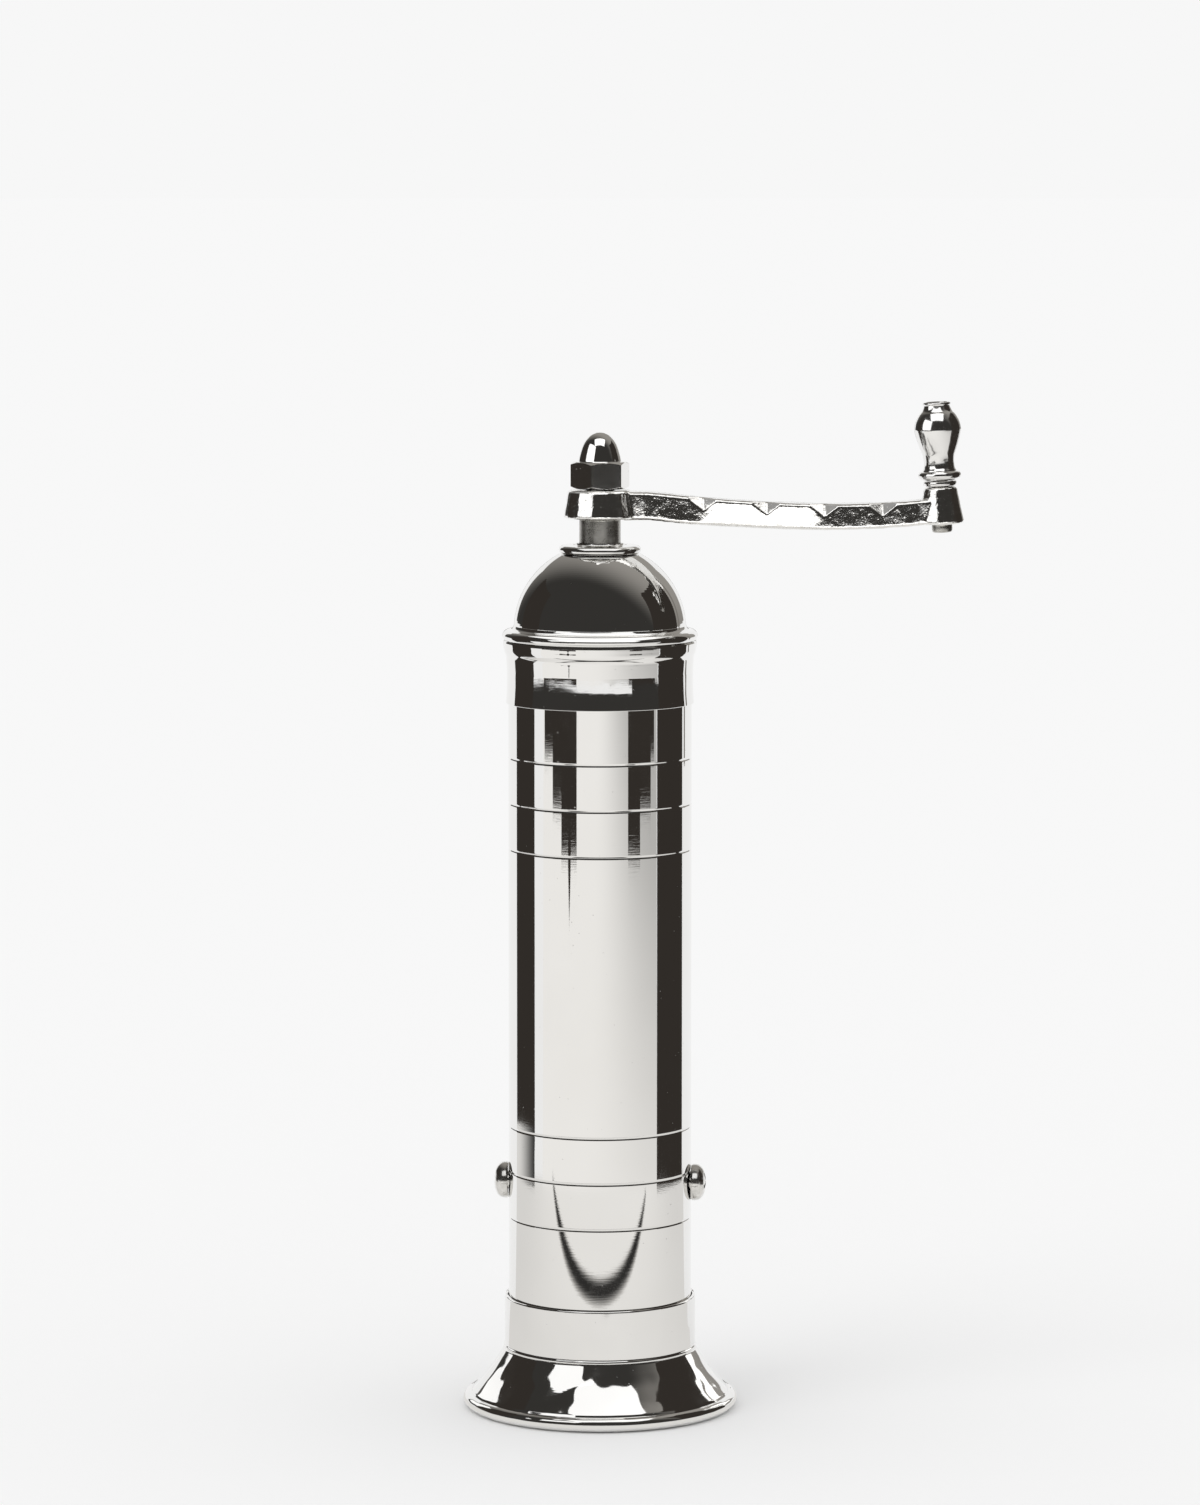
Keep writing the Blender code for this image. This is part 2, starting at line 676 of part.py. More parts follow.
def spindle(pieces, helpers, parent):
    profile = [
        (0.0, STUD_TOP),
        (STUD_R - 0.6 * MM, STUD_TOP),
        (STUD_R, STUD_TOP - 0.6 * MM),
        (STUD_R, JOURNAL_TOP),
        (JOURNAL_R, JOURNAL_TOP),
        (JOURNAL_R, JOURNAL_BOTTOM + MM),
        (ROD_R, JOURNAL_BOTTOM),
        (ROD_R, ROD_BOTTOM),
        (TAIL_R, ROD_BOTTOM),
        (TAIL_R, SPINDLE_BOTTOM + 0.4 * MM),
        (TAIL_R - 0.4 * MM, SPINDLE_BOTTOM),
        (0.0, SPINDLE_BOTTOM),
    ]
    rod = turned("spindle", profile, FINE, pieces, parent, bored=False)
    lap = 0.4 * MM
    squares = []
    for name, width, bottom, top in (
        ("lower_square", LOWER_SQUARE, LOWER_SQUARE_BOTTOM, ROD_BOTTOM + lap),
        ("upper_square", UPPER_SQUARE, JOURNAL_TOP - lap, UPPER_SQUARE_TOP),
    ):
        size = (width, width, top - bottom)
        squares.append(box(name, size, Vector((0.0, 0.0, (top + bottom) / 2)), helpers, parent))
    return finish(combine(rod, "UNION", *squares), SATIN_STEEL)


def burr_cone(pieces, cutters, parent):
    profile = [
        (0.0, CONE_TOP),
        (CONE_TOP_R - 0.5 * MM, CONE_TOP),
        (cone_radius(CONE_TOP - 0.5 * MM), CONE_TOP - 0.5 * MM),
        (CONE_BOTTOM_R, CONE_SHOULDER),
        (CONE_BOTTOM_R, CONE_BOTTOM),
        (0.0, CONE_BOTTOM),
    ]
    cone = turned("burr_cone", profile, FINE, pieces, parent, bored=False)
    middle = (CONE_BOTTOM + CONE_TOP) / 2
    offset = cone_radius(middle) + 0.1 * MM
    cut = flutes("cone_flutes", cutters, offset, burr_lean(), CONE_TOP, CONE_BOTTOM)
    width = LOWER_SQUARE + 2 * RUNNING_GAP
    height = CONE_TOP - CONE_BOTTOM + 4 * MM
    hole = box("cone_hole", (width, width, height), Vector((0.0, 0.0, middle)), cutters)
    return finish(combine(cone, "DIFFERENCE", cut, hole), BURR_STEEL)


def cone_nut(pieces, cutters, parent):
    top = LOWER_SQUARE_BOTTOM - SEAT_GAP
    bottom = top - CONE_NUT_HEIGHT
    nut = prism("cone_nut", 6, CONE_NUT_FLATS, bottom, top, pieces, parent)
    radius = TAIL_R + RUNNING_GAP
    rim = [(0.0, top + MM), (radius, top + MM), (radius, bottom - MM), (0.0, bottom - MM)]
    hole = turned("cone_nut_hole", rim, MEDIUM, cutters, bored=False)
    return finish(combine(nut, "DIFFERENCE", hole), SATIN_STEEL)


# ---- Lid ----


def lid_collar(pieces, parent):
    """The band that slips over the tube, with an inner shelf that rests on the tube's end."""
    bore = TUBE_R + 0.15 * MM
    shelf = TUBE_TOP + SEAT_GAP
    profile = [
        (COLLAR_BORE_R, COLLAR_TOP),
        (COLLAR_BULGE_R - 0.6 * MM, COLLAR_TOP),
        (COLLAR_BULGE_R, COLLAR_BULGE_Z + 0.7 * MM),
        (COLLAR_BULGE_R, COLLAR_BULGE_Z - 0.7 * MM),
        (SKIRT_R + 0.05 * MM, SKIRT_TOP + 0.8 * MM),
        (SKIRT_R - 0.15 * MM, SKIRT_TOP),
        (SKIRT_R, SKIRT_TOP - 0.6 * MM),
        (SKIRT_R, SKIRT_BOTTOM + 0.3 * MM),
        (SKIRT_R - 0.25 * MM, SKIRT_BOTTOM),
        (bore, SKIRT_BOTTOM),
        (bore, shelf),
        (COLLAR_BORE_R, shelf),
    ]
    return finish(turned("lid_collar", profile, SHELL, pieces, parent), PLATED)


def lid_dome(pieces, parent):
    """A spun dome with a rolled rim and a spigot that plugs into the collar."""
    centre = (0.0, DOME_CENTRE)
    flat = DOME_CENTRE + math.sqrt(DOME_R**2 - DOME_FLAT_R**2)
    inner_r = DOME_R - DOME_WALL
    hole = BUSH_SHANK_R + SEAT_GAP
    outer_start = math.degrees(math.acos(DOME_FLAT_R / DOME_R))
    inner_end = math.degrees(math.asin((flat - DOME_WALL - DOME_CENTRE) / inner_r))
    spigot = COLLAR_BORE_R - RUNNING_GAP
    rim_bottom = COLLAR_TOP + 0.3 * MM
    profile = [(hole, flat)]
    profile += arc(centre, DOME_R, outer_start, 0, 7)
    profile += [
        (RIM_R - 0.5 * MM, RIM_TOP),
        (RIM_R, RIM_TOP - 0.6 * MM),
        (RIM_R, rim_bottom + 0.6 * MM),
        (RIM_R - 0.5 * MM, rim_bottom),
        (spigot, rim_bottom),
        (spigot, DOME_SPIGOT_BOTTOM),
        (inner_r, DOME_SPIGOT_BOTTOM),
    ]
    profile += arc(centre, inner_r, 0, inner_end, 5)
    profile += [(hole, flat - DOME_WALL)]
    return finish(turned("lid_dome", profile, SHELL, pieces, parent), PLATED)


def lid_bush(pieces, parent):
    """The flanged bearing on top of the dome that the spindle turns in."""
    bore = JOURNAL_R + RUNNING_GAP
    seat = DOME_CENTRE + math.sqrt(DOME_R**2 - DOME_FLAT_R**2) + SEAT_GAP
    edge = 0.4 * MM
    profile = [
        (bore, BUSH_LIP_TOP),
        (BUSH_LIP_R - 0.2 * MM, BUSH_LIP_TOP),
        (BUSH_LIP_R, BUSH_LIP_TOP - 0.2 * MM),
        (BUSH_LIP_R, BUSH_FLANGE_TOP),
        (BUSH_FLANGE_R - edge, BUSH_FLANGE_TOP),
        (BUSH_FLANGE_R, BUSH_FLANGE_TOP - edge),
        (BUSH_FLANGE_R, seat + edge),
        (BUSH_FLANGE_R - edge, seat),
        (BUSH_SHANK_R, seat),
        (BUSH_SHANK_R, BUSH_BOTTOM),
        (bore, BUSH_BOTTOM),
    ]
    return finish(turned("lid_bush", profile, FINE, pieces, parent), PLATED)


def lid_bush_nut(pieces, cutters, parent):
    flat = DOME_CENTRE + math.sqrt(DOME_R**2 - DOME_FLAT_R**2)
    top = flat - DOME_WALL - SEAT_GAP
    bottom = top - BUSH_NUT_HEIGHT
    nut = prism("lid_bush_nut", 6, BUSH_NUT_FLATS, bottom, top, pieces, parent)
    radius = BUSH_SHANK_R + RUNNING_GAP
    rim = [(0.0, top + MM), (radius, top + MM), (radius, bottom - MM), (0.0, bottom - MM)]
    hole = turned("bush_nut_hole", rim, FINE, cutters, bored=False)
    return finish(combine(nut, "DIFFERENCE", hole), BRASS)


# ---- Crank ----


def arm_edges(x):
    """Heights of the arm's top and bottom edges at x: it dips between the hub and the end boss."""
    if x < ARM_LOW_X:
        rise = ARM_HUB_RISE * ((ARM_LOW_X - x) / (ARM_LOW_X - ARM_HUB_X)) ** 2
    else:
        rise = ARM_BOSS_RISE * ((x - ARM_LOW_X) / (ARM_BOSS_X - ARM_LOW_X)) ** 2
    rise = min(rise, ARM_HUB_RISE)
    share = (x - ARM_HUB_X) / (ARM_BOSS_X - ARM_HUB_X)
    height = ARM_HUB_HEIGHT + (ARM_BOSS_HEIGHT - ARM_HUB_HEIGHT) * share
    return ARM_LOW_Z + rise + height / 2, ARM_LOW_Z + rise - height / 2


def notch(name, x, side, cutters):
    """An eight-sided chip cutter centred on one of the arm's top edges."""
    mesh = bpy.data.meshes.new(name)
    shape = bmesh.new()
    scale = Matrix.Diagonal((NOTCH_HALF_WIDTH, NOTCH_INWARD, NOTCH_DOWN, 1.0))
    bmesh.ops.create_uvsphere(shape, u_segments=4, v_segments=2, radius=1.0, matrix=scale)
    shape.to_mesh(mesh)
    shape.free()
    cutter = add_object(name, mesh, cutters)
    cutter.location = (x, side * ARM_THICKNESS / 2, arm_edges(x)[0])
    return cutter


def crank_arm(pieces, cutters, parent, pin_axis):
    """One casting: a tapered hub, a dipping bar with chip-cut top edges, and an end boss."""
    steps = 12
    xs = [ARM_START_X + (ARM_END_X - ARM_START_X) * i / steps for i in range(steps + 1)]
    points = [(x, arm_edges(x)[1]) for x in xs]
    points += [(x, arm_edges(x)[0]) for x in reversed(xs)]
    arm = outline("crank_arm", points, ARM_THICKNESS, ARM_CHAMFER, pieces)
    bpy.context.view_layer.update()
    placed = arm.matrix_world.copy()
    arm.parent = parent
    arm.matrix_world = placed
    hub_profile = [
        (0.0, HUB_TOP),
        (HUB_TOP_R - 0.5 * MM, HUB_TOP),
        (HUB_TOP_R, HUB_TOP - 0.5 * MM),
        (HUB_BOTTOM_R, HUB_BOTTOM + 0.4 * MM),
        (HUB_BOTTOM_R - 0.4 * MM, HUB_BOTTOM),
        (0.0, HUB_BOTTOM),
    ]
    boss_profile = [
        (0.0, BOSS_HEIGHT),
        (BOSS_TOP_R - 0.4 * MM, BOSS_HEIGHT),
        (BOSS_TOP_R, BOSS_HEIGHT - 0.4 * MM),
        (BOSS_BOTTOM_R, 0.4 * MM),
        (BOSS_BOTTOM_R - 0.4 * MM, 0.0),
        (0.0, 0.0),
    ]
    hub = turned("crank_hub", hub_profile, FINE, cutters, parent, bored=False)
    boss = turned("crank_boss", boss_profile, FINE, cutters, pin_axis, bored=False)
    hole_width = UPPER_SQUARE + 2 * RUNNING_GAP
    hole_height = HUB_TOP - HUB_BOTTOM + 4 * MM
    hole_centre = Vector((0.0, 0.0, (HUB_TOP + HUB_BOTTOM) / 2))
    square = box("hub_hole", (hole_width, hole_width, hole_height), hole_centre, cutters, parent)
    bore_r = PIN_R + RUNNING_GAP
    rim = [(0.0, 12 * MM), (bore_r, 12 * MM), (bore_r, -4 * MM), (0.0, -4 * MM)]
    bore = turned("boss_bore", rim, MEDIUM, cutters, pin_axis, bored=False)
    notches = []
    for index, x in enumerate(NOTCH_XS):
        for side in (-1, 1):
            notches.append(notch(f"arm_notch_{index}_{side + 1}", x, side, cutters))
    combine(arm, "DIFFERENCE", *notches)
    combine(arm, "UNION", hub, boss)
    return finish(combine(arm, "DIFFERENCE", square, bore), CAST_PLATED)


def cap_nut(pieces, helpers, parent):
    """A hexagon with both ends chamfered and a bullet-shaped closed nose."""
    nut = prism(
        "cap_nut",
        6,
        CAP_NUT_FLATS,
        CAP_NUT_BOTTOM,
        CAP_NUT_HEX_TOP,
        pieces,
        parent,
        CAP_NUT_CORNER,
    )
    face_r = CAP_NUT_FLATS / 2 - 0.1 * MM
    corner_r = CAP_NUT_FLATS / 2 / math.cos(math.pi / 6)
    chamfer = 0.55 * MM
    limits = [
        (0.0, CAP_NUT_HEX_TOP),
        (face_r, CAP_NUT_HEX_TOP),
        (corner_r + 0.1 * MM, CAP_NUT_HEX_TOP - chamfer),
        (corner_r + 0.1 * MM, CAP_NUT_BOTTOM + chamfer),
        (face_r, CAP_NUT_BOTTOM),
        (0.0, CAP_NUT_BOTTOM),
    ]
    chamfers = turned("cap_nut_chamfers", limits, FINE, helpers, parent, bored=False)
    nose_start = CAP_NUT_TOP - 2.4 * MM
    nose = [(0.0, CAP_NUT_TOP)]
    nose += bow(
        (CAP_NUT_NOSE_R * 0.4, CAP_NUT_TOP - 0.2 * MM),
        (CAP_NUT_NOSE_R * 0.95, CAP_NUT_TOP - 0.6 * MM),
        (CAP_NUT_NOSE_R, nose_start),
        3,
    )
    nose += [
        (CAP_NUT_NECK_R, CAP_NUT_HEX_TOP),
        (CAP_NUT_NECK_R, CAP_NUT_HEX_TOP - 2 * MM),
        (0.0, CAP_NUT_HEX_TOP - 2 * MM),
    ]
    nose_shape = turned("cap_nut_nose", nose, FINE, helpers, parent, bored=False)
    radius = STUD_R + RUNNING_GAP
    rim = [
        (0.0, CAP_NUT_BORE_TOP),
        (radius, CAP_NUT_BORE_TOP),
        (radius, CAP_NUT_BOTTOM - MM),
        (0.0, CAP_NUT_BOTTOM - MM),
    ]
    bore = turned("cap_nut_bore", rim, FINE, helpers, parent, bored=False)
    combine(nut, "INTERSECT", chamfers)
    combine(nut, "UNION", nose_shape)
    return finish(combine(nut, "DIFFERENCE", bore), PLATED)


# ---- Knob on its leaning pin ----


def knob_pin(pieces, pin_axis):
    profile = [
        (0.0, PIN_TOP),
        (PIN_HEAD_R * 0.6, PIN_TOP - 0.1 * MM),
        (PIN_HEAD_R, PIN_TOP - 0.6 * MM),
        (PIN_HEAD_R, KNOB_TOP - KNOB_RECESS_DEPTH + RUNNING_GAP),
        (PIN_R, KNOB_TOP - KNOB_RECESS_DEPTH + RUNNING_GAP),
        (PIN_R, -RUNNING_GAP),
        (PIN_TAIL_R, -RUNNING_GAP),
        (PIN_TAIL_R, PIN_TAIL_BOTTOM + 0.6 * MM),
        (PIN_TAIL_R * 0.6, PIN_TAIL_BOTTOM),
        (0.0, PIN_TAIL_BOTTOM),
    ]
    return finish(turned("knob_pin", profile, MEDIUM, pieces, pin_axis, bored=False), SATIN_STEEL)


def knob_washer(pieces, pin_axis):
    bore = PIN_R + RUNNING_GAP
    edge = 0.3 * MM
    profile = [
        (bore, WASHER_TOP),
        (WASHER_R - edge, WASHER_TOP),
        (WASHER_R, WASHER_TOP - edge),
        (WASHER_R, WASHER_BOTTOM + edge),
        (WASHER_R - edge, WASHER_BOTTOM),
        (bore, WASHER_BOTTOM),
    ]
    return finish(turned("knob_washer", profile, MEDIUM, pieces, pin_axis), PLATED)


def knob(pieces, pin_axis):
    bore = PIN_R + RUNNING_GAP
    recess_floor = KNOB_TOP - KNOB_RECESS_DEPTH
    profile = [
        (bore, recess_floor),
        (KNOB_RECESS_R, recess_floor),
        (KNOB_RECESS_R, KNOB_TOP),
        (KNOB_LIP_R - 0.2 * MM, KNOB_TOP),
        (KNOB_LIP_R, KNOB_TOP - 0.2 * MM),
        (KNOB_LIP_R, KNOB_LIP_BOTTOM),
    ]
    profile += wave((KNOB_LIP_R, KNOB_LIP_BOTTOM), (KNOB_BELLY_R, KNOB_BELLY), 4)[1:]
    profile += wave((KNOB_BELLY_R, KNOB_BELLY), (KNOB_NECK_R, KNOB_NECK), 5)[1:]
    profile += wave((KNOB_NECK_R, KNOB_NECK), (KNOB_FLANGE_R, KNOB_FLANGE_TOP), 3)[1:]
    profile += [
        (KNOB_FLANGE_R, KNOB_BOTTOM + 0.4 * MM),
        (KNOB_FLANGE_R - 0.4 * MM, KNOB_BOTTOM),
        (bore, KNOB_BOTTOM),
    ]
    return finish(turned("knob", profile, MEDIUM, pieces, pin_axis), PLATED)


def add_axis(name, collection, parent=None):
    """An empty that carries the pieces of one moving group."""
    return add_object(name, None, collection, parent)


def main():
    clear_scene()
    pieces = make_collection("pepper_mill")
    cutters = make_collection("cutters")

    body_tube(pieces, cutters)
    foot(pieces)
    burr_ring(pieces, cutters)
    burr_screw("right", BURR_SCREW_TURN, pieces, cutters)
    burr_screw("left", BURR_SCREW_TURN + math.pi, pieces, cutters)
    adjuster_bridge(pieces, cutters)
    bridge_screw("right", BRIDGE_SCREW_X, pieces, cutters)
    bridge_screw("left", -BRIDGE_SCREW_X, pieces, cutters)
    adjuster_locknut(pieces, cutters)
    adjuster_screw(pieces, cutters)
    thrust_ball(pieces)

    lid_axis = add_axis("lid_axis", pieces)
    lid_collar(pieces, lid_axis)
    lid_dome(pieces, lid_axis)
    lid_bush(pieces, lid_axis)
    lid_bush_nut(pieces, cutters, lid_axis)

    crank_axis = add_axis("crank_axis", pieces)
    spindle(pieces, cutters, crank_axis)
    burr_cone(pieces, cutters, crank_axis)
    cone_nut(pieces, cutters, crank_axis)
    cap_nut(pieces, cutters, crank_axis)

    pin_axis = add_axis("pin_axis", pieces, crank_axis)
    pin_axis.location = (PIN_X, 0.0, PIN_Z)
    pin_axis.rotation_euler = (0.0, PIN_LEAN, 0.0)
    crank_arm(pieces, cutters, crank_axis, pin_axis)
    knob_pin(pieces, pin_axis)
    knob_washer(pieces, pin_axis)
    knob(pieces, pin_axis)

    settle(pieces)


main()
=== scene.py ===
"""Looks of the hand-cranked pepper mill: fine turned shells, a rough plated casting, studio and camera."""

import json
import math
from functools import partial

import bmesh
import bpy
from mathutils import Matrix, Vector, noise


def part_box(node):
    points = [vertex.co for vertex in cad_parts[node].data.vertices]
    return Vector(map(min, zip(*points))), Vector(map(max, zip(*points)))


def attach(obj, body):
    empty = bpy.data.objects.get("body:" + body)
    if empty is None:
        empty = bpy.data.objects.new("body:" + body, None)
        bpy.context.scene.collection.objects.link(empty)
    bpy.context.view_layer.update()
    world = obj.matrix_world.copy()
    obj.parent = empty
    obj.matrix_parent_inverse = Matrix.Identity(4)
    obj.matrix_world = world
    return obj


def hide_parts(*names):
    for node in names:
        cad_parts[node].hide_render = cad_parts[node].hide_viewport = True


MM = 0.001
TURN = 2 * math.pi
SCREW_TURN = math.radians(-4.3)  # the side screws stand slightly off the X axis
AROUND = 192
AROUND_SMALL = 96
SHARP = 30.0  # degrees between faces that meet in a sharp edge
PAPER = (0.93, 0.93, 0.93)  # colour of the floor and of the surround

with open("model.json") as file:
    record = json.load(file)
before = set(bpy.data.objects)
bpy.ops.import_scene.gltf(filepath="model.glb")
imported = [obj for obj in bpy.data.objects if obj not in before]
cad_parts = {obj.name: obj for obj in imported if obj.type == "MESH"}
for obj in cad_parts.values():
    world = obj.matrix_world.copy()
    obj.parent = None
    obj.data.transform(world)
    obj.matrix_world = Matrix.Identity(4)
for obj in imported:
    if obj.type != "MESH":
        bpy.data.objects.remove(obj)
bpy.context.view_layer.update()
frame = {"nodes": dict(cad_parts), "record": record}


# ---- Mesh helpers ----


def extent(node):
    """A centred node's radius, bottom and top, in metres."""
    low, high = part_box(node)
    return (high[1] - low[1]) / 2, low[2], high[2]


def add_object(name, mesh):
    obj = bpy.data.objects.new(name, mesh)
    bpy.context.scene.collection.objects.link(obj)
    return obj


def mesh_of(name, shape):
    """Ends a bmesh and returns its mesh."""
    mesh = bpy.data.meshes.new(name)
    shape.to_mesh(mesh)
    shape.free()
    return mesh


def smoothed(obj, sharp=SHARP):
    """Shades the object smooth, but for its sharp edges."""
    obj.data.shade_smooth()
    obj.data.set_sharp_from_angle(angle=math.radians(sharp))
    return obj


def arc(centre, radius, start, end, count):
    """Points of an arc, its angles in degrees up from the outward direction."""
    points = []
    for step in range(count + 1):
        angle = math.radians(start + (end - start) * step / count)
        points.append((centre[0] + radius * math.cos(angle), centre[1] + radius * math.sin(angle)))
    return points


def through(points, count):
    """A smooth curve through the points."""
    ends = [points[0], *points, points[-1]]
    curve = []
    for index in range(len(points) - 1):
        p0, p1, p2, p3 = ends[index : index + 4]
        for step in range(count):
            t = step / count
            curve.append(
                tuple(
                    0.5
                    * (
                        2 * b
                        + (c - a) * t
                        + (2 * a - 5 * b + 4 * c - d) * t**2
                        + (3 * b - a - 3 * c + d) * t**3
                    )
                    for a, b, c, d in zip(p0, p1, p2, p3)
                )
            )
    curve.append(points[-1])
    return curve


def filleted(corners, closed, steps=5):
    """Corner points (radius, height, fillet) with each fillet made a short curve."""
    count = len(corners)
    points = []
    for index, (radius, height, fillet) in enumerate(corners):
        here = Vector((radius, height))
        at_end = not closed and index in (0, count - 1)
        if fillet <= 0 or at_end:
            points.append((radius, height))
            continue
        before = Vector(corners[index - 1][:2]) - here
        after = Vector(corners[(index + 1) % count][:2]) - here
        reach_before = min(fillet, before.length * 0.49)
        reach_after = min(fillet, after.length * 0.49)
        start = here + before.normalized() * reach_before
        end = here + after.normalized() * reach_after
        for step in range(steps + 1):
            t = step / steps
            point = start * (1 - t) ** 2 + here * 2 * t * (1 - t) + end * t**2
            points.append((point.x, point.y))
    return points


def supported(profile, closed):
    """Adds a point just inside both ends of each long straight run, which keeps its shading straight."""
    near = 0.06 * MM
    long_run = 0.5 * MM
    points = []
    count = len(profile)
    for index, point in enumerate(profile):
        points.append(point)
        if index == count - 1 and not closed:
            break
        here = Vector(point)
        span = Vector(profile[(index + 1) % count]) - here
        if span.length > long_run:
            step = span.normalized() * near
            points.append(tuple(here + step))
            points.append(tuple(here + span - step))
    return points


def ringed(name, rows, around, closed=False, place=None, sharp=SHARP):
    """A mesh of rings about Z, given as (radius, height) rows; a zero radius is a pole.

    A row's radius may be a function of the angle. A closed mesh joins its last ring to its first.
    """
    shape = bmesh.new()
    rings = []
    for radius, height in rows:
        if not callable(radius) and radius < 0.001 * MM:
            rings.append([shape.verts.new((0.0, 0.0, height))])
            continue
        ring = []
        for step in range(around):
            angle = TURN * step / around
            reach = radius(angle) if callable(radius) else radius
            ring.append(shape.verts.new((reach * math.cos(angle), reach * math.sin(angle), height)))
        rings.append(ring)
    pairs = list(zip(rings, rings[1:]))
    if closed:
        pairs.append((rings[-1], rings[0]))
    for upper, lower in pairs:
        for step in range(around):
            following = (step + 1) % around
            if len(upper) == 1:
                shape.faces.new((upper[0], lower[step], lower[following]))
            elif len(lower) == 1:
                shape.faces.new((upper[step], lower[0], upper[following]))
            else:
                shape.faces.new((upper[step], lower[step], lower[following], upper[following]))
    if place is not None:
        bmesh.ops.transform(shape, matrix=place, verts=shape.verts)
    bmesh.ops.recalc_face_normals(shape, faces=shape.faces)
    return smoothed(add_object(name, mesh_of(name, shape)), sharp)


def turned(name, profile, closed=True, around=AROUND, place=None):
    """A turned mesh about Z. The profile runs down its outside; a closed one comes back up its bore."""
    return ringed(name, supported(profile, closed), around, closed, place)


def scaled(points):
    """Points given in millimetres, as metres."""
    return [tuple(value * MM for value in point) for point in points]


def settle(obj):
    """Turns the object's modifiers into its mesh."""
    bpy.context.view_layer.update()
    graph = bpy.context.evaluated_depsgraph_get()
    mesh = bpy.data.meshes.new_from_object(obj.evaluated_get(graph))
    obj.modifiers.clear()
    obj.data = mesh


def with_boxes(obj, operation, *boxes):
    """Cuts boxes out of the object or joins them to it. A box is (size, centre, turn about Z)."""
    helpers = []
    for size, centre, turn in boxes:
        name = f"{obj.name}_box_{len(helpers)}"
        shape = bmesh.new()
        place = Matrix.Translation(centre) @ Matrix.Rotation(turn, 4, "Z")
        bmesh.ops.create_cube(shape, size=1.0, matrix=place @ Matrix.Diagonal((*size, 1.0)))
        helpers.append(add_object(name, mesh_of(name, shape)))
        modifier = obj.modifiers.new(name, "BOOLEAN")
        modifier.operation = operation
        modifier.object = helpers[-1]
    settle(obj)
    for helper in helpers:
        bpy.data.objects.remove(helper, do_unlink=True)


def pin_place():
    """The matrix from the knob pin's own axis, measured up from the end boss, to the frame."""
    joints = frame["record"]["behaviour"]["joints"]
    spin = next(entry for entry in joints if entry["name"] == "knob_spin")
    axis = Vector(spin["axis"]).normalized()
    turn = Vector((0.0, 0.0, 1.0)).rotation_difference(axis).to_matrix().to_4x4()
    return Matrix.Translation(spin["pos_m"]) @ turn


# ---- Materials ----


class Nodes:
    """Builds one procedural material, with positions taken in metres on the piece."""

    def __init__(self, name, anisotropic=0.0):
        self.material = bpy.data.materials.new(name)
        self.material.use_nodes = True
        self.tree = self.material.node_tree
        self.shader = self.tree.nodes["Principled BSDF"]
        self.shader.inputs["Metallic"].default_value = 1.0
        self.shader.inputs["Anisotropic"].default_value = anisotropic
        self.place = self.tree.nodes.new("ShaderNodeTexCoord").outputs["Object"]
        self.bump = None

    def link(self, source, target):
        self.tree.links.new(source, target)

    def noise(self, size, detail, roughness, stretch=(1, 1, 1)):
        """Noise whose features are about this size, in metres; a stretch under 1 draws them out."""
        mapping = self.tree.nodes.new("ShaderNodeMapping")
        mapping.inputs["Scale"].default_value = stretch
        self.link(self.place, mapping.inputs["Vector"])
        node = self.tree.nodes.new("ShaderNodeTexNoise")
        node.inputs["Scale"].default_value = 1.0 / size
        node.inputs["Detail"].default_value = detail
        node.inputs["Roughness"].default_value = roughness
        self.link(mapping.outputs["Vector"], node.inputs["Vector"])
        return node.outputs["Fac"]

    def pits(self, size):
        """The distance to scattered points about this far apart."""
        node = self.tree.nodes.new("ShaderNodeTexVoronoi")
        node.inputs["Scale"].default_value = 1.0 / size
        self.link(self.place, node.inputs["Vector"])
        return node.outputs["Distance"]

    def between(self, value, low, high, start, end):
        """Maps a value from low..high to start..end."""
        node = self.tree.nodes.new("ShaderNodeMapRange")
        for key, number in (("From Min", low), ("From Max", high), ("To Min", start), ("To Max", end)):
            node.inputs[key].default_value = number
        self.link(value, node.inputs["Value"])
        return node.outputs["Result"]

    def mixed(self, value, low, high, first, second):
        """A colour that goes from the first to the second as the value goes from low to high."""
        ramp = self.tree.nodes.new("ShaderNodeValToRGB")
        ramp.color_ramp.elements[0].color = (*first, 1.0)
        ramp.color_ramp.elements[1].color = (*second, 1.0)
        self.link(self.between(value, low, high, 0.0, 1.0), ramp.inputs["Fac"])
        return ramp.outputs["Color"]

    def relief(self, height, depth, strength):
        """Adds a bump of this depth, in metres, on top of the ones before it."""
        node = self.tree.nodes.new("ShaderNodeBump")
        node.inputs["Distance"].default_value = depth
        node.inputs["Strength"].default_value = strength
        self.link(height, node.inputs["Height"])
        if self.bump:
            self.link(self.bump, node.inputs["Normal"])
        self.bump = node.outputs["Normal"]

    def added(self, first, second):
        """The sum of two values."""
        node = self.tree.nodes.new("ShaderNodeMath")
        self.link(first, node.inputs[0])
        self.link(second, node.inputs[1])
        return node.outputs["Value"]

    def done(self, colour, roughness):
        self.link(colour, self.shader.inputs["Base Color"])
        self.link(roughness, self.shader.inputs["Roughness"])
        if self.bump:
            self.link(self.bump, self.shader.inputs["Normal"])
        return self.material


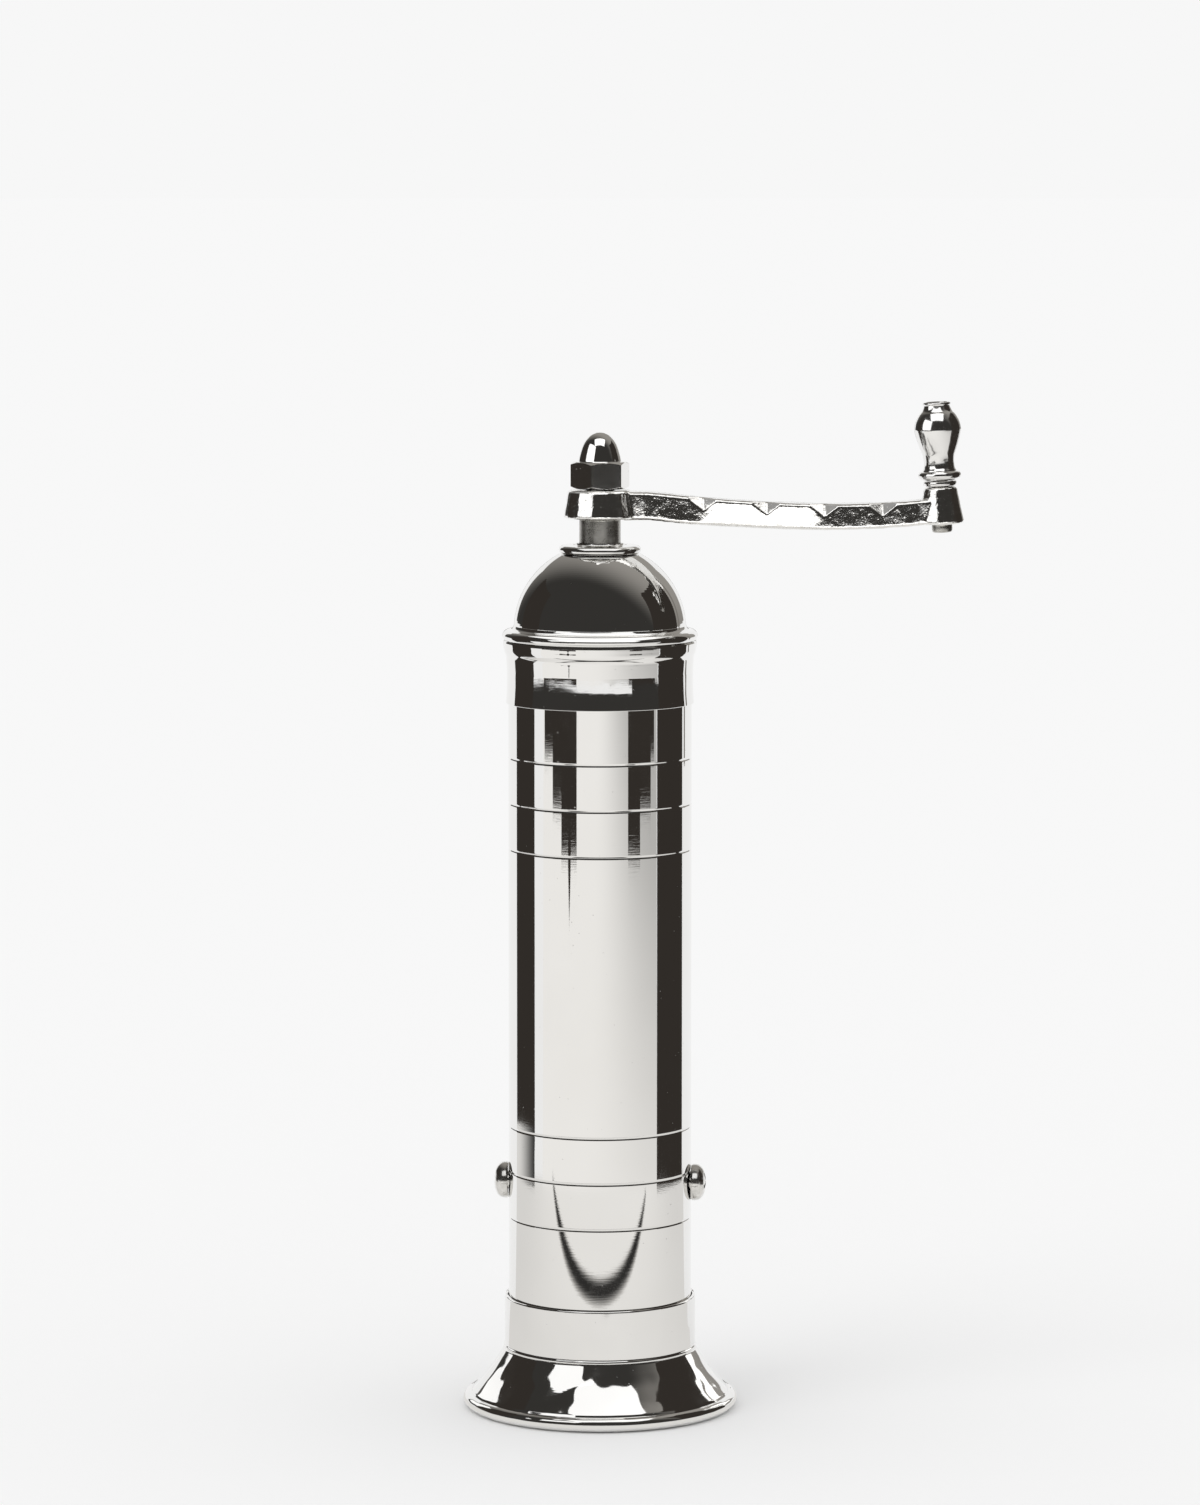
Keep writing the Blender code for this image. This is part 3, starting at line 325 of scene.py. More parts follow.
def plated(name, waviness=0.02 * MM, size=22 * MM, dull=0.0):
    """Mirror plating: waves of this depth and size from polishing, wipe marks, hairlines and specks."""
    nodes = Nodes(name)
    tone = nodes.noise(30 * MM, 3.0, 0.55)
    smear = nodes.noise(9 * MM, 4.0, 0.6, (1, 1, 0.35))
    hair = nodes.noise(0.5 * MM, 2.0, 0.5, (0.12, 0.12, 3.0))
    wide = nodes.noise(size, 1.0, 0.4, (1, 1, 0.5))
    nodes.relief(wide, waviness, 1.0)
    nodes.relief(hair, 0.0016 * MM, 0.6)
    colour = nodes.mixed(tone, 0.3, 0.7, (0.855, 0.848, 0.832), (0.885, 0.88, 0.868))
    rough = nodes.between(smear, 0.35, 0.75, 0.012 + dull, 0.055 + dull)
    specks = nodes.between(nodes.pits(2.4 * MM), 0.0, 0.075, 0.45, 0.0)
    return nodes.done(colour, nodes.added(rough, specks))


def cast_plated(name):
    """Bright plating over a sand casting: lumps, pits and dulled hollows."""
    nodes = Nodes(name)
    lumps = nodes.noise(1.3 * MM, 2.0, 0.5)
    grains = nodes.noise(0.42 * MM, 2.0, 0.55)
    pits = nodes.pits(0.8 * MM)
    nodes.relief(lumps, 0.035 * MM, 0.8)
    nodes.relief(grains, 0.038 * MM, 0.8)
    nodes.relief(nodes.between(pits, 0.0, 0.2, 0.0, 1.0), 0.03 * MM, 0.7)
    colour = nodes.mixed(lumps, 0.35, 0.7, (0.84, 0.83, 0.805), (0.93, 0.925, 0.91))
    rough = nodes.between(grains, 0.3, 0.75, 0.04, 0.16)
    return nodes.done(colour, rough)


def satin_steel(name):
    """Turned steel with a dull plating: fine tool rings, tarnish and small nicks."""
    nodes = Nodes(name, anisotropic=0.5)
    rings = nodes.noise(0.35 * MM, 2.0, 0.5, (0.05, 0.05, 1.0))
    stain = nodes.noise(3.0 * MM, 4.0, 0.6)
    nicks = nodes.noise(0.5 * MM, 2.0, 0.5)
    nodes.relief(rings, 0.006 * MM, 0.8)
    nodes.relief(nicks, 0.01 * MM, 0.4)
    colour = nodes.mixed(stain, 0.35, 0.7, (0.42, 0.41, 0.38), (0.66, 0.65, 0.62))
    rough = nodes.between(stain, 0.3, 0.75, 0.22, 0.38)
    return nodes.done(colour, rough)


def screw_steel(name):
    """Zinc-plated fastener steel with handling marks."""
    nodes = Nodes(name)
    stain = nodes.noise(1.8 * MM, 4.0, 0.6)
    marks = nodes.noise(0.6 * MM, 3.0, 0.6)
    nodes.relief(marks, 0.012 * MM, 0.6)
    colour = nodes.mixed(stain, 0.35, 0.7, (0.72, 0.715, 0.69), (0.90, 0.89, 0.87))
    rough = nodes.between(marks, 0.3, 0.7, 0.10, 0.26)
    return nodes.done(colour, rough)


def burr_steel(name):
    """Dark hardened steel with cutter marks."""
    nodes = Nodes(name)
    scale = nodes.noise(4 * MM, 5.0, 0.65)
    cutter = nodes.noise(0.6 * MM, 3.0, 0.5, (1, 1, 0.25))
    nodes.relief(cutter, 0.02 * MM, 0.8)
    colour = nodes.mixed(scale, 0.3, 0.7, (0.13, 0.128, 0.13), (0.32, 0.31, 0.30))
    rough = nodes.between(scale, 0.3, 0.7, 0.32, 0.55)
    return nodes.done(colour, rough)


def plain_brass(name):
    """Turned brass, handled and slightly browned."""
    nodes = Nodes(name)
    tarnish = nodes.noise(3.5 * MM, 4.0, 0.6)
    rings = nodes.noise(0.4 * MM, 2.0, 0.5, (0.05, 0.05, 1.0))
    nodes.relief(rings, 0.008 * MM, 0.7)
    colour = nodes.mixed(tarnish, 0.35, 0.7, (0.48, 0.31, 0.12), (0.82, 0.62, 0.31))
    rough = nodes.between(tarnish, 0.3, 0.7, 0.18, 0.36)
    return nodes.done(colour, rough)


FINISHES = {
    "plated": plated,
    "cast_plated": cast_plated,
    "satin_steel": satin_steel,
    "screw_steel": screw_steel,
    "burr_steel": burr_steel,
    "brass": plain_brass,
}
materials = {slot: make(slot + "_look") for slot, make in FINISHES.items()}

# Plating as it lies on single pieces: name, depth and size of its waves, dullness
spun_look = plated("spun_look", 0.5 * MM, 7 * MM, 0.02)
nut_look = plated("nut_look", 0.01 * MM, 6 * MM, 0.035)
band_look = plated("band_look", 0.02 * MM, 2.6 * MM)
small_look = plated("small_look", 0.01 * MM, 6 * MM, 0.09)


def fit(piece, body, slot, *nodes, look=None):
    """Gives a piece its finish, its body and the CAD nodes that it stands for."""
    piece.data.materials.clear()
    piece.data.materials.append(look or materials[slot])
    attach(piece, body)
    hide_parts(*nodes)
    return piece


# ---- Body ----


def tube_shell():
    """The tube, with three fine grooves below the lid and three above the foot."""
    radius, bottom, top = extent("body_tube")
    bore = radius - 1.0 * MM
    floor = radius - 0.1 * MM
    ease = 0.2 * MM
    pitch = 10.0 * MM
    corners = [(bore, top, ease), (radius, top, ease)]
    for lowest in (123.0 * MM, 42.0 * MM):
        for index in (2, 1, 0):
            middle = lowest + index * pitch
            corners += [
                (radius, middle + 0.36 * MM, 0.1 * MM),
                (floor, middle + 0.04 * MM, 0.05 * MM),
                (floor, middle - 0.03 * MM, 0.05 * MM),
                (radius, middle - 0.22 * MM, 0.1 * MM),
            ]
    corners += [(radius, bottom, ease), (bore, bottom, ease)]
    return fit(turned("tube_shell", filleted(corners, True, 4)), "mill_body", "plated", "body_tube")


def foot_shell():
    """Spun foot: sleeve, bead line, hollow-cheeked flare and a rolled lip."""
    radius, bottom, top = extent("foot")
    sleeve = 20.9 * MM
    bore = 20.12 * MM
    edge = 0.45 * MM
    lip = 1.5 * MM
    profile = [(bore, top - 0.2 * MM), (bore + 0.15 * MM, top)]
    profile += arc((sleeve - edge, top - edge), edge, 85, 0, 7)
    bead = [(20.9, 15.2, 0), (20.9, 13.75, 0.2), (21.14, 13.5, 0.2), (21.18, 13.15, 0.15)]
    profile += filleted(scaled([*bead, (21.08, 12.95, 0)]), False)
    flare = [(21.12, 12.75), (22.1, 11.1), (23.7, 8.55), (25.9, 5.7), (28.0, 3.45)]
    profile += through(scaled(flare), 7)
    profile += arc((radius - lip, lip + 0.02 * MM), lip, 98, -88, 18)
    inner = radius - 2.9 * MM
    profile += [(inner, bottom), (inner - 0.1 * MM, 1.4 * MM)]
    underside = [(26.6, 3.2), (24.9, 5.2), (22.9, 7.8), (20.4, 11.2)]
    profile += through(scaled(underside), 5)
    profile += scaled([(19.05, 12.4), (19.05, 13.4), (20.1, 13.45)])
    return fit(turned("foot_shell", profile), "mill_body", "plated", "foot", look=spun_look)


def side_screw(side):
    """A pan-head screw with a worn cross recess, laid over to point at the axis."""
    node = "burr_screw_" + side
    low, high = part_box(node)
    turn = SCREW_TURN
    crown = max(abs(low[0]), abs(high[0])) / math.cos(turn)
    head = (high[2] - low[2]) / 2
    seat = 20.1 * MM
    tip = 14.6 * MM
    shank = 1.95 * MM
    dome = [
        (head * 0.3, crown - 0.06 * MM),
        (head * 0.62, crown - 0.38 * MM),
        (head * 0.88, crown - 1.05 * MM),
        (head * 0.985, crown - 1.85 * MM),
        (head, seat + 0.35 * MM),
    ]
    profile = [(0.0, crown)]
    profile += through(dome, 6)
    profile += [(head - 0.15 * MM, seat), (shank, seat), (shank, tip + 0.5 * MM)]
    profile += [(1.4 * MM, tip), (0.0, tip)]
    screw = turned("side_screw_" + side, profile, False, AROUND_SMALL)
    slot = (4.5 * MM, 0.85 * MM, 2.6 * MM)
    cross = [(slot, (0, 0, crown), angle) for angle in (0.35, 0.35 + math.pi / 2)]
    with_boxes(screw, "DIFFERENCE", *cross)
    if side == "left":
        turn += math.pi
    lay = Matrix.Rotation(turn, 4, "Z") @ Matrix.Rotation(math.pi / 2, 4, "Y")
    screw.data.transform(Matrix.Translation((0, 0, (low[2] + high[2]) / 2)) @ lay)
    return fit(smoothed(screw), "mill_body", "screw_steel", node)


def adjuster_knob():
    """Knurled, slotted head of the grind adjuster, with its shank and cup."""
    radius, bottom, top = extent("adjuster_screw")
    head_top = bottom + 6.0 * MM
    ridge = 0.35 * MM
    ridges = 36
    shank = 3.0 * MM
    cup = 2.15 * MM
    cup_floor = top - 1.5 * MM

    def knurled(angle):
        return radius - ridge + abs(math.sin(angle * ridges / 2)) ** 0.7 * ridge

    rows = [
        (0.0, bottom),
        (radius - 1.0 * MM, bottom),
        (knurled, bottom + 0.5 * MM),
        (knurled, head_top - 0.5 * MM),
        (radius - 1.0 * MM, head_top),
        (shank, head_top),
        (shank, top - 0.3 * MM),
        (shank - 0.3 * MM, top),
        (cup, top),
        (cup, cup_floor),
        (0.0, cup_floor),
    ]
    knob = ringed("adjuster_knob", rows, ridges * 6)
    with_boxes(knob, "DIFFERENCE", ((20 * MM, 1.5 * MM, 4 * MM), (0, 0, bottom), 0.0))
    return fit(smoothed(knob), "adjuster", "brass", "adjuster_screw")


# ---- Lid ----


def lid_band():
    """The lid's lower band: a thicker neck under the rolled rim, and a skirt that opens downward."""
    bottom = extent("lid_collar")[1]
    shelf = 162.6 * MM
    spigot = 18.9 * MM
    bore = 20.08 * MM
    profile = [(spigot, 167.3 * MM)]
    profile += scaled([(20.2, 167.3), (20.2, 168.28), (20.6, 168.4)])
    neck = [
        (20.86, 168.5),
        (20.98, 168.2),
        (21.0, 167.9),
        (20.965, 167.2),
        (20.925, 166.5),
        (20.8, 165.95),
        (20.59, 165.4),
        (20.455, 164.9),
        (20.415, 164.3),
        (20.345, 163.0),
        (20.285, 161.9),
    ]
    skirt = [
        (20.273, 161.75),
        (20.27, 161.6),
        (20.27, 161.2),
        (20.272, 160.5),
        (20.276, 159.9),
        (20.283, 159.2),
        (20.295, 158.4),
        (20.325, 157.4),
        (20.38, 156.4),
        (20.47, 155.2),
    ]
    profile += through(scaled(neck), 6)
    profile += through(scaled(skirt), 6)
    profile += [
        (20.49 * MM, bottom + 0.1 * MM),
        (20.41 * MM, bottom),
        (bore + 0.1 * MM, bottom),
        (bore, bottom + 0.1 * MM),
        (bore, shelf),
        (spigot, shelf),
    ]
    return fit(turned("lid_band", profile), "lid", "plated", "lid_collar", look=band_look)


def lid_cap():
    """Spun dome, its spigot sitting in the band's bore."""
    bottom, top = extent("lid_dome")[1:]
    centre = (0.0, 170.7 * MM)
    outer = 18.75 * MM
    inner = 17.75 * MM
    hole = 6.4 * MM
    ceiling = top - 1.0 * MM
    flat = math.asin((top - centre[1]) / outer)
    profile = [(hole, top), (outer * math.cos(flat) - 0.2 * MM, top)]
    profile += arc(centre, outer, math.degrees(flat) - 0.5, 4, 36)
    profile += scaled([(18.75, 171.2), (18.7, 170.2), (18.7, 167.4), (18.7, 164.1)])
    profile += [(18.6 * MM, bottom), (inner, bottom)]
    profile += arc(centre, inner, 0, math.degrees(math.asin((ceiling - centre[1]) / inner)), 16)
    profile += [(hole, ceiling)]
    return fit(turned("lid_cap", profile), "lid", "plated", "lid_dome")


def lid_rim():
    """The rolled rim at the dome's foot, with a cove above it."""
    profile = scaled([(18.72, 171.75)])
    cove = [(18.78, 171.7), (18.92, 171.2), (19.3, 170.86), (19.8, 170.77)]
    profile += through(scaled(cove), 4)
    profile += arc((19.95 * MM, 169.5 * MM), 1.27 * MM, 88, -40, 18)
    profile += scaled([(20.3, 168.4), (20.12, 168.36), (20.12, 167.36), (18.72, 167.36)])
    return fit(turned("lid_rim", profile), "lid", "plated", "lid_dome")


def lid_bearing():
    """Flanged bearing on the dome, with a low lip round the spindle."""
    radius, bottom, top = extent("lid_bush")
    seat = extent("lid_dome")[2] + 0.05 * MM
    roll = 0.95 * MM
    bore = 4.62 * MM
    shank = 6.2 * MM
    lip = top - 0.4 * MM
    profile = [(bore, lip), (5.0 * MM, lip)]
    cove = [(5.15, 189.65), (5.3, 189.35), (5.7, 189.17), (6.5, 189.1)]
    profile += through(scaled(cove), 4)
    profile += arc((radius - roll, seat + roll), roll, 80, -80, 18)
    profile += [(shank, seat), (shank, bottom), (bore, bottom)]
    return fit(turned("lid_bearing", profile, around=128), "lid", "plated", "lid_bush")


# ---- Crank ----


def drive_spindle():
    """Rod with a journal in the lid, squares for the burr cone and the hub, and a threaded stud."""
    bottom, top = (height / MM for height in extent("spindle")[1:])
    corners = [
        (0.0, top, 0),
        (2.4, top, 0.2),
        (2.95, top - 0.6, 0.2),
        (2.95, 194.8, 0.05),
        (4.5, 194.8, 0.25),
        (4.5, 183.0, 0.3),
        (3.0, 182.0, 0.3),
        (3.0, 56.3, 0.2),
        (1.95, 56.3, 0.05),
        (1.95, bottom + 0.4, 0.1),
        (1.55, bottom, 0.1),
        (0.0, bottom, 0),
    ]
    rod = turned("drive_spindle", filleted(scaled(corners), False), False, AROUND_SMALL)
    squares = [
        ((width, width, high - low), (0, 0, (low + high) / 2), 0.0)
        for width, low, high in scaled([(4.2, 43.0, 56.7), (6.0, 194.4, 200.8)])
    ]
    with_boxes(rod, "UNION", *squares)
    return fit(smoothed(rod), "crank", "satin_steel", "spindle")


def lean_of_face(x):
    """How far the arm's face leans back at x, in radians: the casting is slightly twisted."""
    near_hub = 1 / (1 + math.exp((x - 22.5 * MM) / (0.8 * MM)))
    near_boss = 1 / (1 + math.exp((47.0 * MM - x) / (1.0 * MM)))
    return math.radians(-6.5 + 9.0 * near_hub + 9.0 * near_boss)


def crank_casting():
    """The arm with its hub and end boss, as one rough casting whose edges are softened."""
    piece = add_object("crank_casting", frame["nodes"]["crank_arm"].data.copy())
    remesh = piece.modifiers.new("Remesh", "REMESH")
    remesh.mode = "VOXEL"
    remesh.voxel_size = 0.24 * MM
    settle(piece)
    shape = bmesh.new()
    shape.from_mesh(piece.data)
    for _ in range(3):
        bmesh.ops.smooth_vert(
            shape, verts=shape.verts, factor=0.5, use_axis_x=True, use_axis_y=True, use_axis_z=True
        )
    shape.normal_update()
    low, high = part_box("crank_arm")
    middle = (low[2] + high[2]) / 2
    for vert in shape.verts:
        co = vert.co
        coarse = noise.noise(co / (4.0 * MM)) * 0.07 * MM
        lumps = noise.noise(co / (1.5 * MM) + Vector((7, 3, 1))) * 0.035 * MM
        fine = noise.noise(co / (0.7 * MM) + Vector((2, 9, 4))) * 0.012 * MM
        in_bore = math.hypot(co.x, co.y) < 4.6 * MM
        on_arm = 9.5 * MM < co.x < 69 * MM
        if not in_bore:
            co += vert.normal * (coarse + lumps + fine)
        if on_arm and co.y < 0:
            co.y += (co.z - middle) * math.tan(lean_of_face(co.x))
    shape.to_mesh(piece.data)
    shape.free()
    return fit(smoothed(piece, 60.0), "crank", "cast_plated", "crank_arm")


def acorn_nut():
    """A chamfered hexagon with softened corners and a closed bullet nose."""
    bottom, top = extent("cap_nut")[1:]
    hex_top = bottom + 5.8 * MM
    stud = 3.05 * MM
    stud_top = top - 2.1 * MM
    apothem = 11.45 * MM / 2
    face_r = apothem - 0.12 * MM
    chamfer = 0.62 * MM
    slope = math.tan(math.radians(28.0))
    first_face = math.radians(-76.0)
    sharpness = 170

    def hexagon(angle, height):
        """A six-sided outline with slightly round corners, chamfered towards the hexagon's ends."""
        total = sum(max(0.0, math.cos(angle - first_face - k * TURN / 6)) ** sharpness for k in range(6))
        from_end = min(height - bottom, hex_top - height)
        return min(apothem / total ** (1 / sharpness), face_r + from_end / slope)

    ends = [chamfer * step / 13 for step in range(14)]
    heights = [bottom + end for end in ends] + [hex_top - end for end in reversed(ends)]
    ogive = [
        (4.62, 207.5),
        (4.52, 208.1),
        (4.33, 208.9),
        (4.1, 209.7),
        (3.8, 210.6),
        (3.38, 211.5),
        (2.74, 212.4),
        (1.85, 213.15),
        (0.85, 213.58),
    ]
    rows = [(0.0, stud_top), (stud, stud_top), (stud, bottom)]
    rows += [(partial(hexagon, height=height), height) for height in heights]
    rows += scaled([(4.75, 207.32), (4.66, 207.42)])
    rows += through(scaled(ogive), 5)
    rows += [(0.0, top)]
    nut = ringed("acorn_nut", rows, 360, sharp=24.0)
    return fit(nut, "crank", "plated", "cap_nut", look=nut_look)


def turned_knob(place):
    """Baluster knob with a thin flange below and a small rolled lip round the rivet's recess."""
    profile = scaled([(1.8, 25.2), (2.3, 25.2), (2.3, 26.1), (2.38, 26.4)])
    profile += arc((2.66 * MM, 26.14 * MM), 0.36 * MM, 120, -60, 12)
    belly = [
        (2.8, 25.72),
        (2.9, 25.4),
        (3.3, 24.6),
        (3.95, 23.85),
        (4.72, 22.4),
        (5.06, 20.9),
        (5.0, 19.9),
        (4.45, 17.8),
        (3.9, 16.2),
        (3.42, 14.9),
        (3.26, 13.6),
        (3.3, 12.4),
        (3.6, 11.75),
    ]
    profile += through(scaled(belly), 7)
    flange = [(3.7, 11.5, 0), (4.45, 11.3, 0.35), (4.7, 10.6, 0.3), (4.45, 9.95, 0.3), (3.7, 9.62, 0)]
    profile += filleted(scaled(flange), False, 6)
    profile += scaled([(1.8, 9.6)])
    knob = turned("turned_knob", profile, True, 128, place)
    return fit(knob, "knob", "plated", "knob", look=small_look)


def washer_ring(place):
    """Ring with a rounded edge between the end boss and the knob."""
    corners = scaled(
        [(1.8, 9.4, 0.05), (3.5, 9.4, 0.3), (3.62, 8.85, 0.3), (3.5, 8.3, 0.3), (1.8, 8.3, 0.05)]
    )
    ring = turned("washer_ring", filleted(corners, True), True, AROUND_SMALL, place)
    return fit(ring, "crank", "plated", "knob_washer", look=small_look)


def pin_rivet(place):
    """The knob's pin, with a domed head in the knob's recess and a peened tail below the boss."""
    head = [(0.8, 26.15), (1.6, 25.9), (2.1, 25.5), (2.25, 25.32)]
    profile = [(0.0, 26.2 * MM)]
    profile += through(scaled(head), 4)
    profile += scaled([(1.7, 25.3), (1.7, -0.1)])
    tail = [(2.15, -0.12), (2.22, -0.6), (2.2, -1.3), (2.0, -1.75), (1.4, -1.9)]
    profile += through(scaled(tail), 4)
    profile += [(0.0, -1.9 * MM)]
    rivet = turned("pin_rivet", profile, False, AROUND_SMALL, place)
    return fit(rivet, "crank", "satin_steel", "knob_pin")


# ---- Pieces that keep their CAD shape ----


def dress_cad_nodes():
    """Gives the inner pieces, which keep their CAD shape, their finish."""
    for node, slot in (
        ("burr_ring", "burr_steel"),
        ("burr_cone", "burr_steel"),
        ("adjuster_bridge", "satin_steel"),
        ("bridge_screw_right", "screw_steel"),
        ("bridge_screw_left", "screw_steel"),
        ("adjuster_locknut", "brass"),
        ("lid_bush_nut", "brass"),
        ("cone_nut", "screw_steel"),
        ("thrust_ball", "satin_steel"),
    ):
        for material_slot in frame["nodes"][node].material_slots:
            material_slot.material = materials[slot]


# ---- Studio ----


def emitter(name, shade, gradient=None):
    """A studio card's surface: an even tone, or one that changes along a direction.

    A gradient is (direction, from, to, strength there, strength here), in metres along it.
    """
    material = bpy.data.materials.new(name)
    material.use_nodes = True
    tree = material.node_tree
    tree.nodes.clear()
    output = tree.nodes.new("ShaderNodeOutputMaterial")
    emission = tree.nodes.new("ShaderNodeEmission")
    tree.links.new(emission.outputs["Emission"], output.inputs["Surface"])
    emission.inputs["Color"].default_value = (*shade, 1.0)
    if gradient:
        direction, low, high, start, end = gradient
        place = tree.nodes.new("ShaderNodeNewGeometry").outputs["Position"]
        along = tree.nodes.new("ShaderNodeVectorMath")
        along.operation = "DOT_PRODUCT"
        along.inputs[1].default_value = direction
        tree.links.new(place, along.inputs[0])
        ramp = tree.nodes.new("ShaderNodeMapRange")
        ramp.interpolation_type = "SMOOTHSTEP"
        ramp.inputs["From Min"].default_value = low
        ramp.inputs["From Max"].default_value = high
        ramp.inputs["To Min"].default_value = start
        ramp.inputs["To Max"].default_value = end
        tree.links.new(along.outputs["Value"], ramp.inputs["Value"])
        tree.links.new(ramp.outputs["Result"], emission.inputs["Strength"])
    material.cycles.emission_sampling = "NONE"
    return material


def as_card(name, mesh, material):
    """A stage card that only mirror reflections see."""
    mesh.materials.append(material)
    card = add_object(name, mesh)
    card.visible_camera = False
    card.visible_diffuse = False
    card.visible_shadow = False
    card.visible_transmission = False


def grid_card(name, columns, rows, place, material):
    """A card made of a grid, whose points come from the shares of the way across and up."""
    shape = bmesh.new()
    grid = []
    for column in range(columns + 1):
        line = [shape.verts.new(place(column / columns, row / rows)) for row in range(rows + 1)]
        grid.append(line)
    for left, right in zip(grid, grid[1:]):
        for row in range(rows):
            shape.faces.new((left[row], right[row], right[row + 1], left[row + 1]))
    as_card(name, mesh_of(name, shape), material)


def around_mill(azimuth, reach, height):
    """A place by its azimuth, in degrees right of the camera's direction from the mill."""
    angle = math.radians(azimuth)
    return (reach * math.sin(angle), -reach * math.cos(angle), height)


def wall_card(name, azimuths, distance, low, high, material, slant=0.0):
    """An upright card bent round the mill, whose lower edge rises by the slant from its first azimuth
    to its second."""

    def place(across, up):
        base = low + slant * across
        azimuth = azimuths[0] + (azimuths[1] - azimuths[0]) * across
        return around_mill(azimuth, distance, base + (high - base) * up)

    grid_card(name, 40, 24, place, material)


def vault_card(name, azimuths, elevations, material):
    """A card bent over the mill, on a sphere round a point near its top; its angles are in degrees."""
    radius = 1.9
    middle = 0.18

    def place(across, up):
        elevation = math.radians(elevations[0] + (elevations[1] - elevations[0]) * up)
        azimuth = azimuths[0] + (azimuths[1] - azimuths[0]) * across
        return around_mill(azimuth, radius * math.cos(elevation), radius * math.sin(elevation) + middle)

    grid_card(name, 40, 24, place, material)


def floor_card(name, half_angle, reach, material):
    """A flat sector in front of the mill, just above the floor."""

    def place(across, up):
        azimuth = half_angle * (2 * across - 1)
        return around_mill(azimuth, reach[0] + (reach[1] - reach[0]) * up, 0.6 * MM)

    grid_card(name, 40, 1, place, material)


def flat_card(name, outline, level, material):
    mesh = bpy.data.meshes.new(name)
    mesh.from_pydata([(x, y, level) for x, y in outline], [], [range(len(outline))])
    as_card(name, mesh, material)


def lens_card(name, half_depth, level, material):
    """A long thin shape on the floor that narrows to its ends and bends slightly towards the mill."""
    half_length = 0.25
    middle = (-0.012, -0.156)
    count = 24
    outline = []
    for side in (-1, 1):
        for step in range(count + 1):
            t = -side * (1 - 2 * step / count)
            depth = half_depth * (1 - abs(t) ** 2.2 * 0.86)
            bend = 0.006 * t * t
            outline.append((half_length * t + middle[0], middle[1] + bend - side * depth))
    flat_card(name, outline, level, material)


def studio_cards():
    """The set round the mill as its mirror sees it: black flags at its sides, uprights and the dark
    room in front and overhead, the lit floor with a painted shadow of the mill darkening it towards the
    right, and a dark lens-shaped patch near the mill."""
    warm = (1.0, 0.95, 0.88)
    pale = (1.0, 0.985, 0.96)
    black = emitter("card_black", (0.034, 0.029, 0.025))
    grey = emitter("card_grey", (0.20, 0.187, 0.17))
    room = emitter("card_room", warm, ((0.35, 0.55, 0.5), 0.45, 1.6, 0.036, 0.32))
    fade = emitter("card_fade", pale, ((0.0, 1.0, 0.0), -0.02, 0.16, 0.035, 0.75))
    # Painted shadow: the far floor as mirrors see it darkens from 0.93 to 0.5 towards the right, standing
    # in for the mill's shadow there.
    painted_shadow = emitter("card_painted_shadow", pale, ((1.0, 0.0, 0.0), -0.15, 1.1, 0.93, 0.5))
    near = emitter("card_near", pale, ((0.0, 1.0, 0.0), -0.2, 0.1, 0.88, 0.74))
    wall = 0.42
    wall_card("flag_left", (-126.5, -88), 0.345, 0.0, wall, black)
    wall_card("flag_left_foot", (-126.5, -88), 0.285, 0.0, 0.016, fade)
    wall_card("flag_right", (74, 123), 0.285, 0.0, wall, black)
    wall_card("flag_right_edge", (127.5, 131), 0.3, 0.11, wall, grey)
    for tier, low, high, left, right in (
        ("_low", 0.0, 0.0195, -49, 51),
        ("", 0.0195, 0.04, -61, 66),
        ("_high", 0.04, 0.076, -73, 71),
    ):
        wall_card("room_left" + tier, (left, -29), 0.99, low, high, black)
        wall_card("room_right" + tier, (35, right), 0.99, low, high, black)
    wall_card("wall_front", (-75, 39.5), 1.85, 0.0, wall, room, slant=0.065)
    wall_card("wall_far", (-75, 39.5), 2.6, 0.0, 0.3, room)
    for name, azimuths, low, high in (
        ("wall_left", (-152, -128), 0.13, wall),
        ("wall_side", (-128, -75), 0.0, wall),
        ("wall_right", (39.5, 126), 0.0, wall),
        ("wall_right_back", (126, 153), 0.13, wall),
        ("wall_back", (173, 187), 0.0, 0.22),
    ):
        wall_card(name, azimuths, 1.85, low, high, room)
    vault_card("room", (-152, 153), (6, 50), room)
    vault_card("room_back", (153, 208), (22, 50), room)
    vault_card("room_ceiling", (-180, 180), (49.5, 90), room)
    # The far floor that mirrors see, with the painted shadow of the mill on its right.
    floor_card("floor_painted_shadow", 75, (0.29, 1.84), painted_shadow)
    floor_card("floor_near", 127, (0.03, 0.3), near)
    # A dark lens-shaped patch on the floor near the mill, darkest in its middle, in layers that only
    # mirror reflections see.
    for layer, (tone, part) in enumerate(((0.5, 1.0), (0.26, 0.8), (0.11, 0.62), (0.03, 0.46))):
        shade = emitter(f"card_stand_{layer}", (tone, tone * 0.97, tone * 0.93))
        lens_card(f"floor_stand_{layer}", 0.018 * part, (0.9 + 0.1 * layer) * MM, shade)
    flat_card("floor_spike", [(-0.66, -0.77), (-0.60, -0.82), (-0.50, -0.63)], 1.0 * MM, black)


def softbox(name, direction, distance, size, radiance, pieces):
    """A soft area light in a direction from the first of the pieces, which lights only them."""
    data = bpy.data.lights.new(name, "AREA")
    data.shape = "RECTANGLE"
    data.size, data.size_y = size
    data.energy = radiance * math.pi * size[0] * size[1]
    light = add_object(name, data)
    away = Vector(direction).normalized()
    target = sum((Vector(corner) for corner in pieces[0].bound_box), Vector()) / 8
    light.location = target + away * distance
    light.rotation_euler = (-away).to_track_quat("-Z", "Y").to_euler()
    receivers = bpy.data.collections.new(name + "_receivers")
    for piece in pieces:
        receivers.objects.link(piece)
    light.light_linking.receiver_collection = receivers


